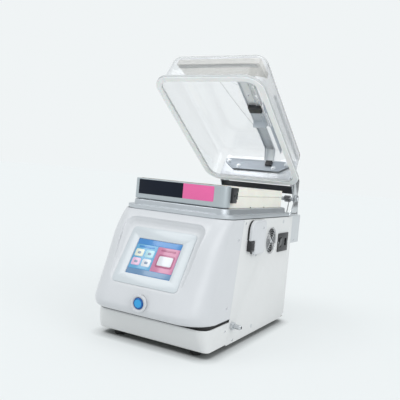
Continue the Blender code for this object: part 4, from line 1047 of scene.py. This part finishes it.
def end_clamp(side, sign):
    """Black bag clamp behind the bar's end: a cheek with a notch, a jaw and a wire spring."""
    low, high = node_box("seal_clamp_" + side)
    middle = (low.x + high.x) / 2
    outline = [(low.y, low.z), (high.y - 0.010, low.z), (high.y - 0.006, low.z + 0.006),
               (high.y - 0.012, low.z + 0.012), (high.y - 0.012, high.z - 0.014),
               (high.y - 0.001, high.z - 0.012), (high.y, high.z - 0.003), (high.y - 0.003, high.z),
               (low.y, high.z)]
    cheek = upright([outline], middle, high.x - low.x, 0.0008)
    slot = rod(0.0035, low.x - 0.01, high.x + 0.01, (low.y + 0.010, low.z + 0.020), "X", 32, 0.0)
    piece("clamp_cheek_" + side, combined(cheek, [slot]), "black_moulding", "seal_bar_unit",
          ["seal_clamp_" + side])
    outer = high.x - 0.0004 if sign > 0 else low.x + 0.0004
    inner = outer - sign * 0.003
    jaw = block((min(outer, inner), high.y - 0.0095, low.z + 0.010),
                (max(outer, inner), high.y - 0.0020, high.z - 0.013), 0.0010, 3)
    piece("clamp_jaw_" + side, jaw, "black_gloss", "seal_bar_unit")
    coil, turn, rise = 0.0045, 0.5, 0.0006
    hook = [(middle, high.y - 0.006 + coil * math.cos(turn * i),
             high.z - 0.018 + coil * math.sin(turn * i) + rise * i)
            for i in range(20)]
    piece("clamp_spring_" + side, tube(hook, 0.0006, 3), "wire", "seal_bar_unit")


def filler_block():
    """Cream block of two plates, with finger notches along its lower edge."""
    low, high = BLOCK_LOW, BLOCK_HIGH
    split = low.z + 0.60 * (high.z - low.z)
    notches = []
    for y in (0.205, 0.310):
        for start, end in ((-high.x - 0.002, -high.x + 0.010), (high.x - 0.010, high.x + 0.002)):
            notches.append(rod(0.0060, start, end, (y, low.z - 0.0015), "X", 32, 0))
    lower = combined(block(low, (high.x, high.y, split - 0.0002), 0.0016, 4), [gathered(notches)])
    piece("filler_lower_plate", lower, "cream_polyethylene", "filler", ["filler_block"])
    upper = block((low.x, low.y, split + 0.0002), high, 0.0016, 4)
    piece("filler_upper_plate", upper, "cream_polyethylene", "filler")


# ---- lid ------------------------------------------------------------------
def lid_ring(inset, height, steps=24):
    """Rounded outline of the lid at a height over its rim's plane."""
    return ring_at(inset, LID_PLANE + height, (-LID_HALF, LID_FRONT), (LID_HALF, LID_REAR), LID_CORNER,
                   steps)


def lid_loft(levels, closed=True, sharp=SHARP):
    """A skin round the lid through (inset, height) levels: closed at its ends, or a hollow ring."""
    return loft([lid_ring(*level) for level in levels], closed, closed, sharp=sharp)


def lid_shell():
    """Clear dome with drafted walls, its frosted rim and the white seal under the rim."""
    outer = [(0.0115, LID_RIM), *quarter(0.0115, LID_RIM, 0.0022, 4, True)[1:],
             *quarter(WALL_INSET, LID_DEPTH, LID_SHOULDER, 14)]
    inner = [(0.0178, LID_RIM), (0.0177, LID_RIM + 0.002),
             *quarter(WALL_INSET + LID_WALL, LID_DEPTH - LID_WALL, LID_SHOULDER - LID_WALL, 14)]
    dome_skin = lid_loft([*reversed(inner), *outer], sharp=50)
    made = piece("lid_dome", dome_skin, "clear_acrylic", "lid", ["lid_shell"])
    made.visible_shadow = False
    rim = [(0.0115, LID_RIM), *reversed(quarter(0.0, LID_RIM, 0.0024)), (0.0, 0.001), (0.001, 0.0),
           (0.0188, 0.0), (0.0195, 0.0007), (0.0195, 0.004), (0.0182, LID_RIM - 0.0006),
           (0.0178, LID_RIM), (0.0115, LID_RIM)]
    piece("lid_rim", lid_loft(rim, False), "frosted_acrylic", "lid", ["lid_shell"])
    low, high = FLANGE_TOP + GAP - LID_PLANE, -GAP
    section = [(0.0010, high), (0.0010, low + 0.0008), (0.0018, low), (0.0177, low), (0.0185, low + 0.0008),
               (0.0185, high), (0.0010, high)]
    piece("lid_seal", lid_loft(section, False), "gasket_silicone", "lid", ["lid_gasket"])


def press_bar():
    """Broad cream bar in the lid, with its silicone strip, seam, screws and carrier."""
    front, step, rear, top = STRIP_Y - 0.010, STRIP_Y + 0.010, PRESS_REAR, CEILING - 0.006
    bottom, shelf, groove = CEILING - 0.031, CEILING - 0.0265, 0.0065
    section = [*arc((front + 0.004, top - 0.004), 0.004, 180, 90, 5),
               *arc((rear - 0.004, top - 0.004), 0.004, 90, 0, 5),
               *arc((rear - 0.0015, shelf + 0.0015), 0.0015, 0, -90, 4), (step + 0.001, shelf),
               (step, shelf - 0.001), *arc((step - 0.0015, bottom + 0.0015), 0.0015, 0, -90, 4),
               (STRIP_Y + groove, bottom), (STRIP_Y + groove, bottom + 0.002),
               (STRIP_Y - groove, bottom + 0.002), (STRIP_Y - groove, bottom),
               *arc((front + 0.0015, bottom + 0.0015), 0.0015, -90, -180, 4)]
    piece("press_body", upright([section], 0.0, 2 * PRESS_HALF, 0.0012), "cream_bar", "lid", ["press_bar"])
    strip = rounded((STRIP_Y - 0.006, bottom - 0.0038), (STRIP_Y + 0.006, bottom + 0.0018), 0.0016, 6)
    rings = [[(x, y, z) for y, z in strip] for x in (-0.130, 0.130)]
    piece("press_strip", loft(rings), "grey_silicone", "lid", ["press_silicone"])
    heads = [(x, rear - 0.014, shelf + 0.0019) for x in (-0.110, -0.040, 0.040, 0.110)]
    screws("press_screws", LID_SCREW, heads, "-Z", "lid")
    carrier = block((-0.112, front + 0.010, top + 0.0002), (0.112, rear - 0.010, CEILING - 0.0008),
                    0.0006, 2)
    piece("press_carrier", carrier, "stainless", "lid")


BRACE_X, BRACE_HALF = 0.048, 0.017
BRACE_TOP = CEILING - 0.0035
LID_SCREW = 0.0030


def lid_fittings():
    """Pieces in and behind the lid: plate, brace, latch, stop, side link and hinge plate."""
    inner_plate()
    brace()
    latch()
    stop = block((BRACE_X - 0.012, REAR_WALL - 0.0135, BRACE_TOP - 0.058),
                 (BRACE_X + 0.012, REAR_WALL - 0.004, BRACE_TOP - 0.038), 0.0014, 3)
    piece("brace_stop", stop, "black_moulding", "lid")
    side_link()
    low = (-EAR_X - 0.002, HINGE_PLATE_REAR - 0.0032, LID_PLANE + LID_RIM + 0.0025)
    high = (EAR_X + 0.002, HINGE_PLATE_REAR, 0.460)
    piece("hinge_plate", block(low, high, 0.0010, 3), "stainless_soft", "lid", ["lid_hinge_plate"])
    backs = [(x, high[1], z) for x in (-0.112, -0.04, 0.04, 0.112) for z in (0.400, 0.448)]
    piece("hinge_plate_bolts", copies(dome_nut(0.0034), backs, "Y"), "stainless", "lid")


def inner_plate():
    """Bolted plate inside the lid's rear wall, with clipped lower corners."""
    half = arc((0.0885, 0.4145), 0.0045, -90, -34, 4) + arc((0.1185, 0.4360), 0.005, -34, 28, 4)
    half += arc((0.1195, 0.4420), 0.005, 28, 60, 3) + arc((0.1120, 0.4495), 0.0045, 60, 90, 3)
    outline = half + [(-x, z) for x, z in reversed(half)]
    piece("inner_plate", facing([outline], REAR_WALL - 0.0016, 0.003, 0.0006), "satin_plate", "lid",
          ["lid_inner_plate"])
    bolts = [(x, REAR_WALL - 0.0031, z)
             for x, z in ((-0.112, 0.442), (-0.068, 0.423), (0.068, 0.423), (0.112, 0.442))]
    piece("inner_plate_bolts", copies(hex_bolt(0.0060), bolts, "-Y"), "stainless_soft", "lid")


def brace():
    """Channel from the press bar to the rear wall, with its screws and its black switch."""
    start, top, rear = PRESS_REAR + 0.0016, BRACE_TOP, REAR_WALL
    web = [(start, top), (rear - 0.031, top), (rear - 0.028, top - 0.0025), (rear - 0.0052, top - 0.0405),
           (rear - 0.0077, top - 0.0408), (rear - 0.0300, top - 0.0042), (rear - 0.032, top - 0.0026),
           (start, top - 0.0026)]
    lip = [(start, top - 0.002), (rear - 0.040, top - 0.002), (rear - 0.034, top - 0.006),
           (rear - 0.012, top - 0.040), (rear - 0.020, top - 0.040), (rear - 0.046, top - 0.009),
           (start, top - 0.007)]
    shapes = [upright([web], BRACE_X, BRACE_HALF * 2, 0.0004)]
    shapes += [upright([lip], BRACE_X + sign * (BRACE_HALF - 0.0009), 0.0016, 0.0003) for sign in (-1, 1)]
    piece("brace_channel", gathered(shapes), "stainless_soft", "lid", ["lid_brace"])
    heads = [(BRACE_X + dx, y, top - 0.0026)
             for dx, y in ((-0.009, 0.112), (0.009, 0.112), (0.0, 0.190), (0.0, 0.300))]
    screws("brace_screws", LID_SCREW, heads, "-Z", "lid")
    switch = block((BRACE_X - 0.013, 0.235, top - 0.016), (BRACE_X + 0.030, 0.262, top - 0.0030), 0.0014, 3)
    piece("brace_switch", switch, "black_moulding", "lid")


def side_link():
    """Bar bolted along the lid's right wall."""
    x = LID_HALF - WALL_INSET - LID_WALL - 0.0030
    outline = rounded((0.150, CEILING - 0.050), (REAR_WALL - 0.036, CEILING - 0.036), 0.0068, 10)
    piece("side_link_bar", upright([outline], x, 0.0025, 0.0005), "grey_powder_coat", "lid",
          ["lid_side_link"])
    ends = [(x - 0.0013, y, CEILING - 0.043) for y in (0.158, REAR_WALL - 0.044)]
    piece("side_link_bolts", copies(hex_bolt(0.0046), ends, "-X"), "stainless", "lid")


def latch():
    """Pressed metal bracket beside the brace, its folded keeper, side cheek, pull rod and screws."""
    top = BRACE_TOP
    outline = [(0.014, 0.1015), (0.072, 0.1015), (0.088, 0.116), (0.088, 0.226), (0.080, 0.236),
               (0.080, 0.330), (0.072, 0.338), (0.066, 0.338), (0.066, 0.1300), (0.030, 0.1300),
               (0.026, 0.118), (0.014, 0.115)]
    holes = [circle(0.0040, (0.078, 0.150), 24), circle(0.0060, (0.077, 0.190), 24),
             circle(0.0028, (0.022, 0.108), 16)]
    bracket = plate([outline, *holes], 0.0016, Matrix.Translation((0, 0, top - 0.0052)), 0.0003)
    piece("latch_bracket", bracket, "stainless_soft", "lid")
    keeper = [(0.272, top - 0.0034), (0.310, top - 0.0034), (0.314, top - 0.0060), (0.326, top - 0.0230),
              (0.3245, top - 0.0240), (0.3115, top - 0.0072), (0.272, top - 0.0054)]
    piece("latch_keeper", upright([keeper], BRACE_X + 0.006, 0.048, 0.0003), "satin_plate", "lid")
    cheek = [(0.215, top - 0.0045), (REAR_WALL - 0.040, top - 0.0045), (REAR_WALL - 0.034, top - 0.010),
             (REAR_WALL - 0.034, top - 0.021), (REAR_WALL - 0.060, top - 0.021), (0.240, top - 0.018)]
    window = [(0.262, top - 0.0090), (0.330, top - 0.0090), (0.330, top - 0.0160), (0.262, top - 0.0150)]
    piece("latch_cheek", upright([cheek, window], 0.092, 0.0016, 0.0003), "satin_plate", "lid")
    piece("latch_rod", rod(0.0016, 0.135, 0.330, (0.084, top - 0.0120), "Y", 24, 0.0003), "wire", "lid")
    heads = [(x, y, top - 0.0062) for x, y in ((0.038, 0.112), (0.080, 0.128), (0.078, 0.215))]
    screws("latch_screws", LID_SCREW, heads, "-Z", "lid")


def leads():
    """Thin leads clipped inside the lid, from a saddle on the press bar to the brace."""
    high, behind = CEILING - 0.0020, PRESS_REAR + 0.002
    routes = {
        "lead_long": [(-0.040, behind, CEILING - 0.010), (-0.036, 0.130, high), (-0.020, 0.200, high),
                      (0.006, 0.300, high), (0.029, 0.380, high)],
        "lead_short": [(-0.008, behind, CEILING - 0.010), (-0.002, 0.120, high), (0.012, 0.140, high),
                       (BRACE_X - BRACE_HALF - 0.001, 0.150, high)],
    }
    for name, route in routes.items():
        piece(name, tube(smooth_path(route, 8), 0.0009, 3), "wire", "lid")
    saddle = block((-0.052, PRESS_REAR + 0.0005, CEILING - 0.019),
                   (-0.006, PRESS_REAR + 0.0080, CEILING - 0.006), 0.0016, 3)
    piece("lead_saddle", saddle, "tan_plastic", "lid")


# ---- hinge ----------------------------------------------------------------
def hinge():
    """Stands, arms, ears, the shaft and rod between them, their springs, and the hinge cover strip, black as
    painted shade.
    """
    swing, tilt = (SWING.y, SWING.z), (TILT.y, TILT.z)
    rim_top = LID_PLANE + LID_RIM + 0.001
    ear_front = HINGE_PLATE_REAR + GAP
    bore, tilt_bore = (circle(SHAFT_RADIUS + SHAFT_PLAY, centre, 48) for centre in (swing, tilt))
    arm = [*arc(tilt, 0.013, 200, 270), *arc(swing, 0.016, -80, 60), (0.585, 0.446), (0.545, 0.456),
           (0.5275, 0.440)]
    ear = [(ear_front, rim_top), (LID_REAR + 0.003, rim_top), *arc(tilt, 0.011, 250, 390),
           (ear_front, 0.446)]
    stand = [(0.545, BODY_TOP), (0.628, BODY_TOP), *arc(swing, 0.016, -20, 150), (0.572, 0.395)]
    stand_holes = [circle(0.003, (y, 0.368), 24) for y in (0.558, 0.616)]
    for side, sign in (("left", -1), ("right", 1)):
        for name, outlines, x, body, node in (
                ("stand_plate_", [stand, bore, *stand_holes], STAND_X, "base", "hinge_stand_"),
                ("arm_plate_", [arm, bore, tilt_bore], ARM_X, "hinge_arms", "lid_arm_"),
                ("ear_plate_", [ear, tilt_bore], EAR_X, "lid", "lid_ear_")):
            data = upright(outlines, sign * x, HINGE_SHEET, 0.0006)
            piece(name + side, data, "stainless_upright", body, [node + side])
        piece("spring_coil_" + side, tube(spring(sign), 0.0016, 4), "dark_spring",
              nodes=["lid_spring_" + side])
    # The hinge cover strip is black to stand for the shade under the lid's rear rim: a real cover with painted
    # shade.
    lean = (TILT - SWING).normalized()
    across = Vector((0, -lean.z, lean.y))
    lower, upper, half = HINGE_COVER[0] + 0.008, HINGE_COVER[1], 0.0015
    corners = [SWING + lean * along + across * off
               for along, off in ((lower, -half), (upper, -half), (upper, half), (lower, half))]
    strip = upright([[(c.y, c.z) for c in corners]], 0.0, 2 * (ARM_X - 0.002 - GAP), 0.0005)
    piece("hinge_strip_painted_shade", strip, "black_moulding", "hinge_arms", ["hinge_cover"])
    for name, node, centre in (("swing_shaft", "hinge_shaft", swing), ("tilt_pin", "tilt_rod", tilt)):
        low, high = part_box(node)
        reach = (high.x - low.x) / 2
        piece(name, rod(SHAFT_RADIUS, -reach, reach, centre, "X", 48, 0.0008), "stainless", "hinge_arms",
              [node])


def spring(sign, turns=5, per_turn=32):
    """Torsion spring round the shaft, with a leg down to the hinge box."""
    radius, pitch = 0.0105, 0.0042
    start = sign * (EAR_X - 0.010)
    points = [(start, SWING.y - 0.026, BODY_TOP + 0.0022)]
    for i in range(turns * per_turn + 1):
        turn = math.radians(200) + 2 * math.pi * i / per_turn
        points.append((start - sign * pitch * i / per_turn, SWING.y + radius * math.cos(turn),
                       SWING.z + radius * math.sin(turn)))
    return points


# ---- inside the body ------------------------------------------------------
INSIDE = {
    "base_pan": "zinc", "motor_mount": "zinc", "vacuum_pump": "cast_paint", "pump_motor": "cast_paint",
    "seal_transformer": "core_laminations", "control_board": "board_green", "vent_valve": "black_moulding",
    "vacuum_hose": "hose_rubber", "motor_shaft": "stainless",
}


def inside():
    """The pieces that the covers hide keep their CAD shapes and get their finishes."""
    for node, look in INSIDE.items():
        target = frame["nodes"][node]
        target.data.materials.clear()
        target.data.materials.append(MATERIALS[look])


# ---- stage ----------------------------------------------------------------
BACKDROP = (0.871, 0.905, 0.913)
# The floor's glow is dimmed near the machine by ambient occlusion: a painted contact shadow, its reach and start
# set here.
FLOOR_BASE, FLOOR_GLOW, PAINTED_SHADOW_REACH = 0.36, 0.572, 0.038
SKY = ((0.0, 1.0), (0.38, 1.0), (0.45, 0.72), (0.60, 0.72), (0.68, 1.0), (1.0, 1.0))
CARD_DIRECTION, CARD_EDGE, CARD_LEVEL = (0.48, 0.877, 0.0), (0.83, 0.93), 0.30
PAINTED_SHADOW_START, FLOOR_HALF = 0.45, 40.0
SUNS = (("key_sun", (-0.9, -1.0, 1.7), 30, 0.60), ("side_sun", (1.2, -0.35, 0.7), 40, 0.80),
        ("top_sun", (0.3, 0.2, 1.0), 60, 0.35))


def stage():
    """Pale floor that glows a little, its glow dimmed near the machine as a painted contact shadow, and soft
    studio light.
    """
    bm = bmesh.new()
    bmesh.ops.create_grid(bm, x_segments=1, y_segments=1, size=FLOOR_HALF)
    floor = placed("floor", finished(bm, "floor"))
    material = bpy.data.materials.new("floor")
    material.use_nodes = True
    tree = material.node_tree
    shader = tree.nodes["Principled BSDF"]
    for socket, value in (("Base Color", (*(c * FLOOR_BASE for c in BACKDROP), 1)), ("Roughness", 1.0),
                          ("Specular IOR Level", 0.0), ("Emission Strength", FLOOR_GLOW)):
        shader.inputs[socket].default_value = value
    # Ambient occlusion turns the glow black near the machine: a painted contact shadow on the floor.
    shadow_occlusion = tree.nodes.new("ShaderNodeAmbientOcclusion")
    shadow_occlusion.inputs["Distance"].default_value = PAINTED_SHADOW_REACH
    painted_shadow = tree.nodes.new("ShaderNodeValToRGB")
    shadowed, clear = painted_shadow.color_ramp.elements
    shadowed.position, shadowed.color, clear.color = PAINTED_SHADOW_START, (0, 0, 0, 1), (*BACKDROP, 1)
    tree.links.new(shadow_occlusion.outputs["AO"], painted_shadow.inputs[0])
    tree.links.new(painted_shadow.outputs[0], shader.inputs["Emission Color"])
    floor.data.materials.append(material)
    surroundings()
    for settings in SUNS:
        sun(*settings)


def surroundings():
    """World: the plain backdrop to the camera; to gloss, banded high up and with a dark card behind."""
    world = bpy.data.worlds.new("studio")
    bpy.context.scene.world = world
    world.use_nodes = True
    tree = world.node_tree

    def node(kind, **settings):
        """One node of the world with its settings."""
        made = tree.nodes.new(kind)
        for key, value in settings.items():
            setattr(made, key, value)
        return made

    place = node("ShaderNodeTexCoord").outputs["Generated"]
    split = node("ShaderNodeSeparateXYZ")
    bands = node("ShaderNodeValToRGB")
    tree.links.new(place, split.inputs[0])
    tree.links.new(split.outputs["Z"], bands.inputs[0])
    elements = bands.color_ramp.elements
    while len(elements) < len(SKY):
        elements.new(0.5)
    for element, (position, level) in zip(elements, SKY):
        element.position = position
        element.color = (*(c * level for c in BACKDROP), 1)
    towards = node("ShaderNodeVectorMath", operation="DOT_PRODUCT")
    towards.inputs[1].default_value = CARD_DIRECTION
    tree.links.new(place, towards.inputs[0])
    card = node("ShaderNodeMapRange", interpolation_type="SMOOTHSTEP")
    for socket, value in (("From Min", CARD_EDGE[0]), ("From Max", CARD_EDGE[1]), ("To Min", 1.0),
                          ("To Max", CARD_LEVEL)):
        card.inputs[socket].default_value = value
    tree.links.new(towards.outputs["Value"], card.inputs[0])
    dimmed = node("ShaderNodeVectorMath", operation="SCALE")
    tree.links.new(bands.outputs[0], dimmed.inputs[0])
    tree.links.new(card.outputs[0], dimmed.inputs["Scale"])
    choice = node("ShaderNodeMix", data_type="RGBA")
    mirrored, direct, shown = colour_sockets(choice)
    tree.links.new(node("ShaderNodeLightPath").outputs["Is Camera Ray"], choice.inputs[0])
    tree.links.new(dimmed.outputs[0], mirrored)
    direct.default_value = (*BACKDROP, 1)
    tree.links.new(shown, tree.nodes["Background"].inputs["Color"])


def sun(name, place, width, power):
    """A wide, soft sun that shines from a place towards the machine."""
    data = bpy.data.lights.new(name, "SUN")
    data.angle, data.energy = math.radians(width), power
    placed(name, data).rotation_euler = (-Vector(place)).to_track_quat("-Z", "Y").to_euler()


bpy.context.scene.view_settings.view_transform = "Standard"
camera()
materials()
front_cover()
lower_cover()
display()
start_button()
side_panels()
rear_side()
feet()
fan()
air_cowl()
power_inlet()
hose_barb()
chamber_tray()
seal_bar()
filler_block()
lid_shell()
press_bar()
lid_fittings()
leads()
hinge()
inside()
stage()
